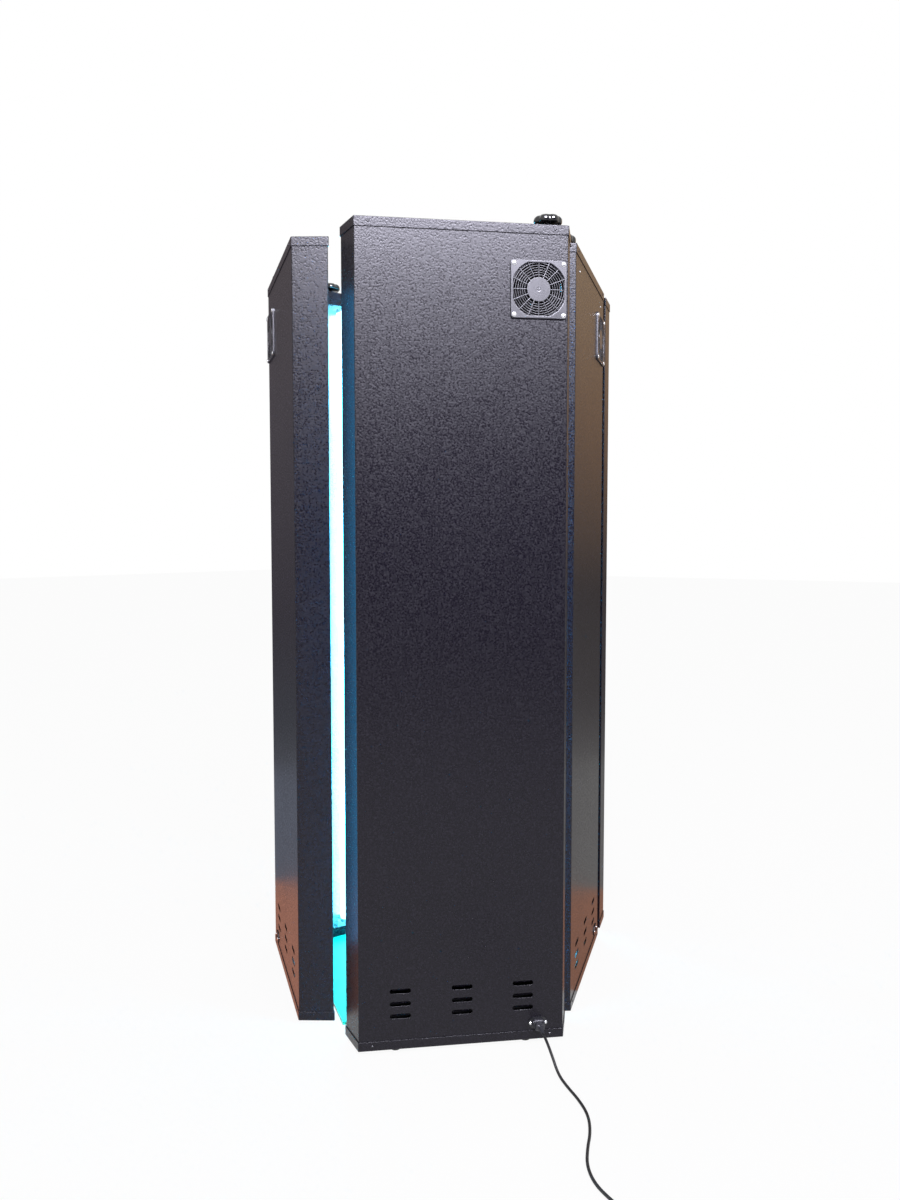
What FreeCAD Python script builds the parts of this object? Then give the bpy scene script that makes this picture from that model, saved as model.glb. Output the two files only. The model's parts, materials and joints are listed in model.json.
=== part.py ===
import FreeCAD, Part
import math
import os
from FreeCAD import Vector

os.makedirs("parts", exist_ok=True)

# Sizes are in millimetres. The booth stands on Z = 0 with its entrance towards -Y and +Z up.
# The origin is the middle of the standing space, at floor level.

# ---- height
booth_height = 2080.0  # floor to the top of the caps
glide_height = 8.0
glide_radius = 15.0

# ---- one cabinet: a trapezoid in plan, its narrow face outwards
face_width = 530.0
cabinet_depth = 90.0
station_turn = 72.0  # from each cabinet to the next
entrance = 270.0  # direction of the entrance, from +X
sheet = 1.2
bend_radius = 2.5  # outside radius of the casing's upright bends
cap_sheet = 1.5
cap_lip = 24.0
cap_slip = 0.3  # between a cap's lip and the casing
cap_bend = 2.0
edge_band = 15.0  # width of the inner face left beside the window
bottom_band = 28.0
top_band = 38.0
tool_overrun = 5.0  # how far a cut runs past the sheet or wall that it goes through
lap_gap = 50.0  # between a wing's inner face and the end of the side cabinet behind it

# ---- wings
right_ajar = 7.0  # how far each wing stands open
left_ajar = 2.0
wing_swing = 95.5  # from shut to wide open
stud_inset = 42.0  # from the outer corner to the stud, along the face
stud_radius = 5.0
stud_slip = 0.05  # running fit of a stud in its plate or knob
stud_hole_slip = 0.3
stud_collar_radius = 15.0
stud_collar = 3.0
plate_width = 42.0
top_plate = 5.0
bottom_plate = 4.0
plate_gap = 0.3
seat_gap = 0.3  # between pieces that only lean on each other
nut_height = 9.0
nut_corner = 9.2  # from the nut's axis to its corners
nut_dome = 7.6
nut_thread = 7.0  # how far a tie stud reaches into its nut

# ---- hand knob
knob_radius = 36.5
knob_height = 30.0
knob_neck_radius = 13.0
knob_neck = 7.0
knob_rim = 13.5
knob_lobes = 7
knob_flute_radius = 9.0
knob_flute_bite = 4.0
knob_bore_depth = 22.0
knob_bore_end = 1.0  # left empty above the stud

# ---- lamps and what is behind them
lamp_radius = 19.0
lamp_wall = 1.0
lamp_cap = 12.0
lamp_pin_radius = 1.2
lamp_pin = 7.0
lamp_pin_pitch = 12.7
lamp_count = 3
lamp_inset = 81.0  # from the outer corner to the first lamp's axis, along the face
lamp_setback = 28.0  # from the inner face to the lamps' axes
low_holder = 30.5  # height of a holder, from the cabinet's end to the lamp's cap
high_holder = 40.5
holder_width = 44.0
holder_corner = 6.0
holder_slot_inset = 4.0
holder_front = 15.0  # how far a holder stands in front of the lamp axis
holder_slot = 8.0
holder_slot_depth = 9.0
reflector_sheet = 0.8
reflector_gap = 24.0  # from the lamps' axes back to the sheet
reflector_rise = 34.0  # how far its side flares come forward
reflector_side = 46.0
reflector_tuck = 10.0  # how far it runs past the window, behind the holders
screen_thickness = 3.0
screen_edge = 10.0  # how far it runs past the window, and short of the casing's ends
ballast_width = 60.0
ballast_height = 210.0
ballast_room = 2.8  # between a ballast and the reflector
ballast_low = 420.0
ballast_pitch = 300.0
ballast_foot = 12.0  # how far its foot plate sticks out on either side
ballast_foot_sheet = 2.0
ballast_foot_inset = 15.0
starter_radius = 10.5
starter_height = 34.0
starter_base = (30.0, 24.0, 10.0)

# ---- fan
fan_inset = 75.0  # from the outer corner to the fan's axis, along the face
fan_drop = 159.0  # below the top
fan_size = 140.0
fan_thickness = 25.4
fan_screw_pitch = 125.0
fan_bore_radius = 67.0
fan_corner = 7.0
fan_strut = 5.0
fan_strut_depth = 3.5
fan_strut_count = 4
rotor_radius = 65.5
hub_radius = 26.0
hub_height = 20.0
hub_edge = 2.0
blade_count = 7
blade_thickness = 1.8
blade_root = (38.0, 20.0)  # lean in degrees and chord, at the hub
blade_tip = (24.0, 26.0)  # and at the tip
blade_flatness = 0.62
rotor_gap = 0.6  # between the rotor and the casing's sheet
shaft_radius = 4.0
shaft_slip = 0.05
shaft_start = 4.0
guard_size = 142.0
guard_thickness = 5.0
guard_hole_radius = 70.0
guard_hole_square = 129.0
guard_hub_radius = 30.0
guard_rings = 6
guard_spokes = 16
guard_spoke = 1.9
guard_ring = 1.7
guard_bar_depth = 2.6
guard_setback = 1.0  # of the spokes behind the rim's front
guard_ring_setback = 1.0  # of the rings behind the spokes
guard_gate_radius = 2.5  # the mould's gate mark in the middle
guard_gate_depth = 0.8
guard_screw_radius = 6.0
guard_screw_shank = 2.2
guard_screw_hole = 2.4
guard_screw_reach = 18.0  # past the casing's face
screw_head = 2.4
head_shoulder = 0.35  # height of a screw head's rim, as a share of the head's height
head_crown = (0.72, 0.86)  # a point of its dome, as shares of the head's radius and height
head_slot = (0.45, 0.18)  # length and width of its slot, as shares of the radius
head_slot_depth = 0.6  # as a share of the head's height

# ---- louvres
louvre_width = 54.0
louvre_height = 12.0
louvre_inset = 106.0  # from the outer corner to the first column's middle
louvre_rows = (94.0, 126.0, 159.0)
louvre_blade = 1.2
louvre_reach = 8.0
louvre_root = 0.4

# ---- mains inlet
inlet_inset = 66.0
inlet_height = 52.0
inlet_width = 50.0
inlet_tall = 28.0
inlet_flange = 3.0
inlet_chamfer = 9.0
inlet_hole_slip = 1.0
inlet_body_width = 30.0
inlet_body_tall = 22.0
inlet_body_depth = 24.0
socket_width = 24.6
socket_tall = 16.8
socket_depth = 15.0
inlet_screw_pitch = 40.0
inlet_screw_radius = 4.0
socket_pin_pitch = 7.0
socket_pin = 9.0
socket_pin_size = (2.0, 4.0)
socket_earth_rise = 2.0

# ---- small screws in the cap lips and the faces
lip_screw_inset = 34.0
lip_screw_radius = 3.2
lip_screw_head = 1.4
face_screw_inset = 65.0
face_screw_drop = 57.0

# ---- glides under each cabinet
glide_inset = 95.0  # from the outer corner, along the face
glide_setback = 22.0  # from the outer and the inner face
glide_taper = 2.0

# ---- floor board
board_thickness = 10.0
board_gap = 2.1  # between the board and the cabinets' inner faces
board_relief = 4.0  # room round a wing's inner corner as it swings over the board

# ---- supply lead
lead_diameter = 7.0
nose_slip = 0.35
connector_width = 27.0
connector_tall = 21.0
connector_length = 30.0
connector_edge = 4.0
pocket_tall = 10.0
pocket_slip = 1.0
relief_length = 28.0
relief_base_radius = 6.5
relief_wall = 1.0
coil_mean_radius = 38.5
coil_turns_high = 2
coil_turns_wide = 3
plug_length = 46.0
plug_width = 38.0
plug_tall = 25.0
plug_edge = 6.0
plug_pin = 19.0
plug_pin_radius = 2.4
plug_pin_pitch = 19.0
plug_relief = 20.0
plug_back = 45.0  # from the coil's middle to the plug's pin face
plug_inset = 4.0  # of the plug's middle from the middle of the turns, towards the coil's centre
arc_share = 0.45  # how much of a run the arc at its end takes

# Route of the lead: along the face, out from the face and up from the floor, seen from outside.
lead_route = [
    (199.0, 61.0, 52.0),
    (199.0, 92.0, 52.0),
    (203.0, 132.0, 36.0),
    (209.0, 172.0, 9.0),
    (219.0, 216.0, 3.9),
    (232.0, 272.0, 3.9),
    (237.0, 332.0, 3.9),
    (224.0, 392.0, 3.9),
    (201.0, 446.0, 3.9),
    (184.0, 500.0, 3.9),
    (184.0, 555.0, 3.9),
    (202.0, 605.0, 3.9),
    (223.5, 649.0, 3.9),
]
coil_along = 186.0  # middle of the coil, along the face
coil_out = 680.0  # and out from it

# ---- worked out from the sizes above
flare = 90.0 - station_turn
rise = math.tan(math.radians(flare))
inner_width = face_width + 2 * cabinet_depth * rise
half_span = inner_width * math.cos(math.radians(flare)) / 2
lap = math.cos(math.radians(station_turn))
# The inner faces of the wings and the back stand wing_reach out; those of the sides, side_reach.
wing_reach = (lap_gap + half_span + lap * (half_span - cabinet_depth)) / (1 - lap**2)
side_reach = half_span + lap * wing_reach - cabinet_depth

cap_floor = glide_height + cap_sheet
casing_top = booth_height - cap_sheet
window_low = cap_floor + bottom_band
window_high = casing_top - top_band
lamp_low = cap_floor + low_holder
lamp_high = casing_top - high_holder
lamp_depth = cabinet_depth - lamp_setback
lamp_pitch = (face_width - 2 * lamp_inset) / (lamp_count - 1)
reflector_depth = lamp_depth - reflector_gap
ballast_thickness = reflector_depth - sheet - ballast_room
knob_low = booth_height + 2 * plate_gap + top_plate
stud_top = knob_low + knob_bore_depth - knob_bore_end
louvre_column = face_width / 2 - louvre_inset
louvre_columns = (-louvre_column, 0.0, louvre_column)
stud_along = face_width / 2 - stud_inset
stud_depth = cabinet_depth / 2
fan_along = face_width / 2 - fan_inset
fan_height = booth_height - fan_drop
inlet_along = face_width / 2 - inlet_inset


def station(direction, reach):
    """Placement of a cabinet: X along its face, Y inwards from its face, Z up."""
    out = reach + cabinet_depth
    angle = math.radians(direction)
    place = FreeCAD.Placement()
    place.Base = Vector(out * math.cos(angle), out * math.sin(angle), 0)
    place.Rotation = FreeCAD.Rotation(Vector(0, 0, 1), direction + 90)
    return place


def turned_about(place, local_point, degrees):
    """The placement after a turn about an upright axis through one of its own points."""
    axis = place.multVec(local_point)
    turn = FreeCAD.Placement(Vector(0, 0, 0), FreeCAD.Rotation(Vector(0, 0, 1), degrees), axis)
    return turn.multiply(place)


# Name: placement, hand (+1 has its fan at the right, seen from outside), body.
right_stud = Vector(stud_along, stud_depth, 0)
left_stud = Vector(-stud_along, stud_depth, 0)
right_wing_shut = station(entrance + station_turn / 2, wing_reach)
left_wing_shut = station(entrance - station_turn / 2, wing_reach)
stations = {
    "right_wing": (turned_about(right_wing_shut, right_stud, right_ajar), 1),
    "left_wing": (turned_about(left_wing_shut, left_stud, -left_ajar), -1),
    "right_side": (station(entrance + 1.5 * station_turn, side_reach), 1),
    "left_side": (station(entrance - 1.5 * station_turn, side_reach), -1),
    "back": (station(entrance - 180, wing_reach), 1),
}
groups = {
    "right_wing": ["right_wing"],
    "left_wing": ["left_wing"],
    "ring": ["right_side", "left_side", "back"],
}


def upright(points, low, high):
    """A prism on a plan outline."""
    outline = [Vector(x, y, low) for x, y in points]
    face = Part.Face(Part.makePolygon(outline + outline[:1]))
    return face.extrude(Vector(0, 0, high - low))


def upright_edge(edge):
    first, last = edge.Vertexes[0].Point, edge.Vertexes[-1].Point
    return abs(first.x - last.x) < 0.01 and abs(first.y - last.y) < 0.01


def inward_edge(edge):
    """Whether the edge runs along local Y."""
    return abs(edge.tangentAt(edge.FirstParameter).y) > 0.99


def folded_upright(points, low, high, radius):
    """A prism with rounded upright bends."""
    prism = upright(points, low, high)
    return prism.makeFillet(radius, [edge for edge in prism.Edges if upright_edge(edge)])


def plan_of(offset):
    """The cabinet's trapezoid grown by offset on every side."""
    side = offset / math.cos(math.radians(flare))
    front = -offset
    back = cabinet_depth + offset
    corner = face_width / 2 + side
    return [
        (-(corner + front * rise), front),
        (corner + front * rise, front),
        (corner + back * rise, back),
        (-(corner + back * rise), back),
    ]


def across(radius, length, x, y, z):
    """A cylinder along local Y."""
    return Part.makeCylinder(radius, length, Vector(x, y, z), Vector(0, 1, 0))


def block(width, depth, height, x, y, z):
    """A block centred on x, starting at y and z."""
    return Part.makeBox(width, depth, height, Vector(x - width / 2, y, z))


def slot_prism(width, height, depth, x, y, z):
    """A round-ended slot along X, cut through Y."""
    radius = height / 2
    half = width / 2 - radius
    left = Vector(x - half, y, z)
    right = Vector(x + half, y, z)
    up = Vector(0, 0, radius)
    edges = [
        Part.LineSegment(left + up, right + up).toShape(),
        Part.Arc(right + up, right + Vector(radius, 0, 0), right - up).toShape(),
        Part.LineSegment(right - up, left - up).toShape(),
        Part.Arc(left - up, left - Vector(radius, 0, 0), left + up).toShape(),
    ]
    return Part.Face(Part.Wire(edges)).extrude(Vector(0, depth, 0))


def louvre_vane(x, z):
    """The tongue pressed inwards and down from the slot's upper edge."""
    high = z + louvre_height / 2
    profile = [
        Vector(0, sheet, high + louvre_blade),
        Vector(0, sheet, high - louvre_root),
        Vector(0, louvre_reach, high - louvre_reach),
        Vector(0, louvre_reach + louvre_blade, high - louvre_reach),
    ]
    width = louvre_width - louvre_height
    face = Part.Face(Part.makePolygon(profile + profile[:1]))
    vane = face.extrude(Vector(width, 0, 0))
    vane.translate(Vector(x - width / 2, 0, 0))
    return vane


def casing():
    """Folded sheet tube with a window on the inner face."""
    shell = folded_upright(plan_of(0), cap_floor, casing_top, bend_radius)
    shell = shell.cut(folded_upright(plan_of(-sheet), cap_floor, casing_top, bend_radius - sheet))
    through = sheet + 2 * tool_overrun
    window = block(inner_width - 2 * edge_band, through, window_high - window_low,
                   0, cabinet_depth - sheet - tool_overrun, window_low)
    holes = [window]
    holes.append(across(fan_bore_radius, through, fan_along, -tool_overrun, fan_height))
    inlet_hole = inlet_body_tall + inlet_hole_slip
    holes.append(block(inlet_body_width + inlet_hole_slip, through, inlet_hole,
                       inlet_along, -tool_overrun, inlet_height - inlet_hole / 2))
    for cx, cz in guard_corners():
        holes.append(across(guard_screw_hole, through, cx, -tool_overrun, cz))
    vanes = []
    for x in louvre_columns:
        for row in louvre_rows:
            holes.append(slot_prism(louvre_width, louvre_height, through, x, -tool_overrun, row))
            vanes.append(louvre_vane(x, row))
    shell = shell.cut(Part.makeCompound(holes))
    return shell.fuse(vanes).removeSplitter()


def cap(closed, lip_end, stud_holes):
    """A shallow tray over one end of the casing, its lip folded from closed to lip_end."""
    tray = upright(plan_of(cap_slip + cap_sheet), min(closed, lip_end), max(closed, lip_end))
    folds = [edge for edge in tray.Edges
             if upright_edge(edge) or abs(edge.CenterOfMass.z - closed) < 0.01]
    tray = tray.makeFillet(cap_bend, folds)
    inside = closed + math.copysign(cap_sheet, lip_end - closed)
    tray = tray.cut(upright(plan_of(cap_slip), min(inside, lip_end), max(inside, lip_end)))
    for x in stud_holes:
        hole = Part.makeCylinder(stud_radius + stud_hole_slip, 2 * tool_overrun,
                                 Vector(x, stud_depth, closed - tool_overrun))
        tray = tray.cut(hole)
    return tray


def top_cap(stud_holes):
    return cap(booth_height, booth_height - cap_lip, stud_holes)


def bottom_cap(stud_holes):
    return cap(glide_height, glide_height + cap_lip, stud_holes)


def reflector():
    """Polished sheet behind the lamps, its sides flared forward at 45 degrees."""
    flat = lamp_pitch * (lamp_count - 1) / 2 + reflector_side
    back = reflector_depth
    front = reflector_depth + reflector_rise
    out = flat + reflector_rise
    skin = reflector_sheet
    rim = out - skin * math.sqrt(2)
    bend = flat - skin * math.tan(math.radians(22.5))
    outline = [
        (-out, front), (-flat, back), (flat, back), (out, front),
        (rim, front), (bend, back + skin), (-bend, back + skin), (-rim, front),
    ]
    return upright(outline, window_low - reflector_tuck, window_high + reflector_tuck)


def lamp(x):
    """Glass tube with a metal cap and two pins at each end."""
    low = lamp_low + lamp_cap
    high = lamp_high - lamp_cap
    centre = Vector(x, lamp_depth, low)
    tube = Part.makeCylinder(lamp_radius, high - low, centre)
    tube = tube.cut(Part.makeCylinder(lamp_radius - lamp_wall, high - low, centre))
    pieces = [tube]
    for start, tip in ((lamp_low, lamp_low - lamp_pin), (high, lamp_high)):
        end = Part.makeCylinder(lamp_radius, lamp_cap, Vector(x, lamp_depth, start))
        for side in (-1, 1):
            foot = Vector(x + side * lamp_pin_pitch / 2, lamp_depth, tip)
            end = end.fuse(Part.makeCylinder(lamp_pin_radius, lamp_pin, foot))
        pieces.append(end)
    return pieces


def holder(x, low, high, slot_low):
    """Moulded lamp holder with a slot across it for the pins."""
    back = reflector_depth + reflector_sheet + seat_gap
    body = block(holder_width, lamp_depth + holder_front - back, high - low, x, back, low)
    body = body.makeFillet(holder_corner, [edge for edge in body.Edges if upright_edge(edge)])
    slot = block(holder_width - 2 * holder_slot_inset, holder_slot, holder_slot_depth, x,
                 lamp_depth - holder_slot / 2, slot_low)
    return body.cut(slot)


def lamp_places():
    return [(n - (lamp_count - 1) / 2) * lamp_pitch for n in range(lamp_count)]


def lamps():
    return [piece for x in lamp_places() for piece in lamp(x)]


def holders():
    pieces = []
    for x in lamp_places():
        pieces.append(holder(x, cap_floor, lamp_low, lamp_low - holder_slot_depth))
        pieces.append(holder(x, lamp_high, casing_top, lamp_high))
    return pieces


def screen():
    """Clear sheet behind the window's edges."""
    width = inner_width - 2 * edge_band + 2 * screen_edge
    height = casing_top - cap_floor - 2 * screen_edge
    back = cabinet_depth - sheet - screen_thickness
    return [block(width, screen_thickness, height, 0, back, cap_floor + screen_edge)]


def control_gear():
    """Ballasts with a starter above each, fixed inside the outer sheet."""
    pieces = []
    base_width, base_depth, base_height = starter_base
    for n in range(lamp_count):
        low = ballast_low + n * ballast_pitch
        ballast = block(ballast_width, ballast_thickness, ballast_height, 0, sheet, low)
        foot = block(ballast_width + 2 * ballast_foot, ballast_foot_sheet,
                     ballast_height - 2 * ballast_foot_inset, 0, sheet, low + ballast_foot_inset)
        pieces.append(ballast.fuse(foot).removeSplitter())
        centre = Vector(lamp_pitch / 2, sheet + base_depth / 2, low)
        starter = Part.makeCylinder(starter_radius, starter_height, centre)
        base = block(base_width, base_depth, base_height, centre.x, sheet, low - base_height)
        pieces.append(starter.fuse(base).removeSplitter())
    return pieces


def rounded_square(size, radius, depth, x, y, z):
    body = block(size, depth, size, x, y, z - size / 2)
    return body.makeFillet(radius, [edge for edge in body.Edges if inward_edge(edge)])


def guard_corners():
    half = fan_screw_pitch / 2
    return [(fan_along + sx * half, fan_height + sz * half) for sx in (-1, 1) for sz in (-1, 1)]


def fan_guard():
    """Moulded grille: a square rim, rings and spokes round a solid middle."""
    x, z = fan_along, fan_height
    front = -guard_thickness
    rim = rounded_square(guard_size, fan_corner, guard_thickness, x, front, z)
    through = guard_thickness + 2 * tool_overrun
    hole = across(guard_hole_radius, through, x, front - tool_overrun, z)
    hole = hole.common(block(guard_hole_square, through, guard_hole_square,
                             x, front - tool_overrun, z - guard_hole_square / 2))
    rim = rim.cut(hole)
    bar_front = front + guard_setback
    ring_front = bar_front + guard_ring_setback
    ring_depth = guard_bar_depth - guard_ring_setback
    bars = [across(guard_hub_radius, guard_bar_depth, x, bar_front, z)]
    step = (guard_hole_square / 2 - guard_hub_radius) / guard_rings
    for n in range(1, guard_rings + 1):
        mid = guard_hub_radius + n * step
        ring = across(mid + guard_ring / 2, ring_depth, x, ring_front, z)
        bars.append(ring.cut(across(mid - guard_ring / 2, ring_depth, x, ring_front, z)))
    length = guard_hole_radius - guard_hub_radius + guard_spoke
    for n in range(guard_spokes):
        spoke = block(guard_spoke, guard_bar_depth, length, 0, bar_front,
                      guard_hub_radius - guard_spoke / 2)
        spoke.rotate(Vector(0, 0, 0), Vector(0, 1, 0), 360.0 / guard_spokes * n)
        spoke.translate(Vector(x, 0, z))
        bars.append(spoke)
    guard = rim.multiFuse(bars).removeSplitter()
    guard = guard.cut(across(guard_gate_radius, guard_gate_depth, x, bar_front, z))
    for cx, cz in guard_corners():
        guard = guard.cut(across(guard_screw_hole, through, cx, front - tool_overrun, cz))
    return [guard]


def fan_frame():
    """Square housing with a round duct, the shaft and the struts that hold it."""
    x, z = fan_along, fan_height
    through = fan_thickness + 2 * tool_overrun
    frame = rounded_square(fan_size, fan_corner, fan_thickness, x, sheet, z)
    frame = frame.cut(across(fan_bore_radius, through, x, sheet - tool_overrun, z))
    rear = sheet + fan_thickness - fan_strut_depth
    mount = across(hub_radius, fan_strut_depth, x, rear, z)
    struts = []
    for n in range(fan_strut_count):
        strut = block(fan_strut, fan_strut_depth, fan_bore_radius, 0, rear, hub_radius / 2)
        strut.rotate(Vector(0, 0, 0), Vector(0, 1, 0), (n + 0.5) * 360.0 / fan_strut_count)
        strut.translate(Vector(x, 0, z))
        struts.append(strut)
    shaft = across(shaft_radius, rear - shaft_start, x, shaft_start, z)
    frame = frame.multiFuse([mount, shaft] + struts).removeSplitter()
    for cx, cz in guard_corners():
        frame = frame.cut(across(guard_screw_hole, through, cx, sheet - tool_overrun, cz))
    return [frame]


def fan_rotor():
    """Hub with swept blades, turning on the shaft."""
    front = sheet + rotor_gap
    hub = across(hub_radius, hub_height, 0, front, 0)
    hub = hub.makeFillet(hub_edge, [hub.Edges[0]])
    blades = []
    for n in range(blade_count):
        sections = []
        for radius, (lean, chord) in ((hub_radius - blade_thickness, blade_root),
                                      (rotor_radius, blade_tip)):
            half = chord / 2
            slope = math.radians(lean)
            dx, dy = half * math.cos(slope), half * math.sin(slope) * blade_flatness
            middle = front + hub_height / 2
            thick = blade_thickness / 2
            corners = [
                Vector(-dx, middle - dy - thick, radius), Vector(dx, middle + dy - thick, radius),
                Vector(dx, middle + dy + thick, radius), Vector(-dx, middle - dy + thick, radius),
            ]
            sections.append(Part.makePolygon(corners + corners[:1]))
        blade = Part.makeLoft(sections, True, True)
        blade.rotate(Vector(0, 0, 0), Vector(0, 1, 0), 360.0 / blade_count * n)
        blades.append(blade)
    rotor = hub.multiFuse(blades)
    rotor = rotor.common(across(rotor_radius, hub_height, 0, front, 0)).removeSplitter()
    bore = across(shaft_radius + shaft_slip, hub_height + 2 * tool_overrun, 0, front - tool_overrun, 0)
    rotor = rotor.cut(bore)
    rotor.translate(Vector(fan_along, 0, fan_height))
    return [rotor]


def pan_head(radius, height, x, y, z):
    """A domed screw head that stands out from y, towards the outside."""
    top = Vector(0, -height, 0)
    edge = Vector(radius, -height * head_shoulder, 0)
    crown = Vector(radius * head_crown[0], -height * head_crown[1], 0)
    dome = Part.Arc(edge, crown, top).toShape()
    profile = Part.Wire([
        dome,
        Part.LineSegment(top, Vector(0, 0, 0)).toShape(),
        Part.LineSegment(Vector(0, 0, 0), Vector(radius, 0, 0)).toShape(),
        Part.LineSegment(Vector(radius, 0, 0), edge).toShape(),
    ])
    head = Part.Face(profile).revolve(Vector(0, 0, 0), Vector(0, 1, 0), 360)
    slot_long, slot_wide = radius * head_slot[0], radius * head_slot[1]
    head = head.cut(block(slot_long, height, slot_wide,
                          0, -height * (2 - head_slot_depth), -slot_wide / 2))
    head.translate(Vector(x, y, z))
    return head


def screw(radius, height, shank_radius, length, x, y, z):
    """Pan-head screw with its plain shank going inwards."""
    return pan_head(radius, height, x, y, z).fuse(across(shank_radius, length, x, y, z))


def stud(x, low, collar_low, high):
    """Round stud with a collar that bears on the cap."""
    post = Part.makeCylinder(stud_radius, high - low, Vector(x, stud_depth, low))
    collar = Part.makeCylinder(stud_collar_radius, stud_collar, Vector(x, stud_depth, collar_low))
    return post.fuse(collar).removeSplitter()


def top_stud(x, top):
    return stud(x, casing_top - stud_collar, casing_top - stud_collar, top)


def bottom_stud(x):
    return stud(x, cap_sheet, cap_floor, cap_floor + stud_collar)


def cap_nut(x):
    """Domed nut on a tie stud that is never undone in use."""
    turns = [math.radians(60 * n) for n in range(6)]
    base = upright([(nut_corner * math.cos(t), nut_corner * math.sin(t)) for t in turns],
                   0, nut_height)
    dome = Part.makeSphere(nut_dome, Vector(0, 0, nut_height), Vector(0, 0, 1), 0, 90, 360)
    bore = Part.makeCylinder(stud_radius + stud_slip, nut_height, Vector(0, 0, 0))
    nut = base.fuse(dome).removeSplitter().cut(bore)
    nut.translate(Vector(x, stud_depth, knob_low - plate_gap))
    return nut


def fasteners(name):
    pieces = []
    for cx, cz in guard_corners():
        pieces.append(screw(guard_screw_radius, screw_head, guard_screw_shank,
                            guard_thickness + guard_screw_reach, cx, -guard_thickness, cz))
    for side in (-1, 1):
        pieces.append(pan_head(inlet_screw_radius, screw_head,
                               inlet_along + side * inlet_screw_pitch / 2, -inlet_flange, inlet_height))
        for z in (booth_height - cap_lip / 2, glide_height + cap_lip / 2):
            pieces.append(pan_head(lip_screw_radius, lip_screw_head,
                                   side * (face_width / 2 - lip_screw_inset),
                                   -(cap_slip + cap_sheet), z))
        if "wing" not in name:
            pieces.append(pan_head(lip_screw_radius, lip_screw_head,
                                   side * (face_width / 2 - face_screw_inset), 0,
                                   booth_height - face_screw_drop))
    for x, knobbed in stud_plan(name):
        pieces.append(top_stud(x, stud_top if knobbed else knob_low + nut_thread))
        pieces.append(bottom_stud(x))
        if not knobbed:
            pieces.append(cap_nut(x))
    return pieces


def stud_plan(name):
    """Where a cabinet has studs, in its own right-handed layout, and whether a knob is on top."""
    if "wing" in name:
        return [(stud_along, True)]
    if "side" in name:
        return [(-stud_along, True), (stud_along, False)]
    return [(-stud_along, False), (stud_along, False)]


def inlet():
    """Flanged appliance inlet with a recessed socket and three blades."""
    x, z = inlet_along, inlet_height
    flange = block(inlet_width, inlet_flange, inlet_tall, x, -inlet_flange, z - inlet_tall / 2)
    flange = flange.makeChamfer(inlet_chamfer, [edge for edge in flange.Edges if inward_edge(edge)])
    body = block(inlet_body_width, inlet_body_depth, inlet_body_tall, x, 0, z - inlet_body_tall / 2)
    socket = block(socket_width, socket_depth + inlet_flange, socket_tall,
                   x, -inlet_flange, z - socket_tall / 2)
    shape = flange.fuse(body).removeSplitter().cut(socket)
    wide, tall = socket_pin_size
    for column in (-1, 0, 1):
        rise = socket_earth_rise if column == 0 else -socket_earth_rise
        shape = shape.fuse(block(wide, socket_pin, tall, x + column * socket_pin_pitch,
                                 socket_depth - socket_pin, z + rise - tall / 2))
    return [shape]


def glides():
    pieces = []
    for side in (-1, 1):
        for y in (glide_setback, cabinet_depth - glide_setback):
            foot = Vector(side * (face_width / 2 - glide_inset), y, 0)
            pieces.append(Part.makeCone(glide_radius - glide_taper, glide_radius, glide_height, foot))
    return pieces


def hand_knob(place, local_x):
    """Fluted domed knob on a neck, with a blind bore for the stud."""
    shoulder = knob_neck + knob_rim
    crown = knob_height - shoulder
    dome_radius = (knob_radius**2 + crown**2) / (2 * crown)
    dome = Part.makeSphere(dome_radius, Vector(0, 0, knob_height - dome_radius))
    head = Part.makeCylinder(knob_radius, knob_height - knob_neck, Vector(0, 0, knob_neck))
    head = head.common(dome)
    reach = knob_radius + knob_flute_radius - knob_flute_bite
    flutes = []
    for n in range(knob_lobes):
        angle = 2 * math.pi * n / knob_lobes
        middle = Vector(reach * math.cos(angle), reach * math.sin(angle), 0)
        flutes.append(Part.makeCylinder(knob_flute_radius, knob_height + tool_overrun, middle))
    head = head.cut(Part.makeCompound(flutes))
    knob = head.fuse(Part.makeCylinder(knob_neck_radius, knob_neck)).removeSplitter()
    knob = knob.cut(Part.makeCylinder(stud_radius + stud_slip, knob_bore_depth))
    centre = place.multVec(Vector(local_x, stud_depth, knob_low))
    knob.translate(centre)
    return knob


def link_plate(first, second, low, high):
    """Flat strap with round ends over two studs."""
    along = second - first
    length = along.Length
    radius = plate_width / 2
    strap = Part.makeBox(length, plate_width, high - low, Vector(0, -radius, 0))
    for x in (0, length):
        strap = strap.fuse(Part.makeCylinder(radius, high - low, Vector(x, 0, 0)))
    strap = strap.removeSplitter()
    for x in (0, length):
        strap = strap.cut(Part.makeCylinder(stud_radius + stud_slip, high - low, Vector(x, 0, 0)))
    angle = math.degrees(math.atan2(along.y, along.x))
    strap.rotate(Vector(0, 0, 0), Vector(0, 0, 1), angle)
    strap.translate(Vector(first.x, first.y, low))
    return strap


def side_of(direction, reach):
    """The upright plane of an inner face, as direction and distance."""
    angle = math.radians(direction)
    return math.cos(angle), math.sin(angle), reach - board_gap


def crossing(one, two):
    a, b, c = one
    d, e, f = two
    scale = a * e - b * d
    return (c * e - b * f) / scale, (a * f - c * d) / scale


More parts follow.
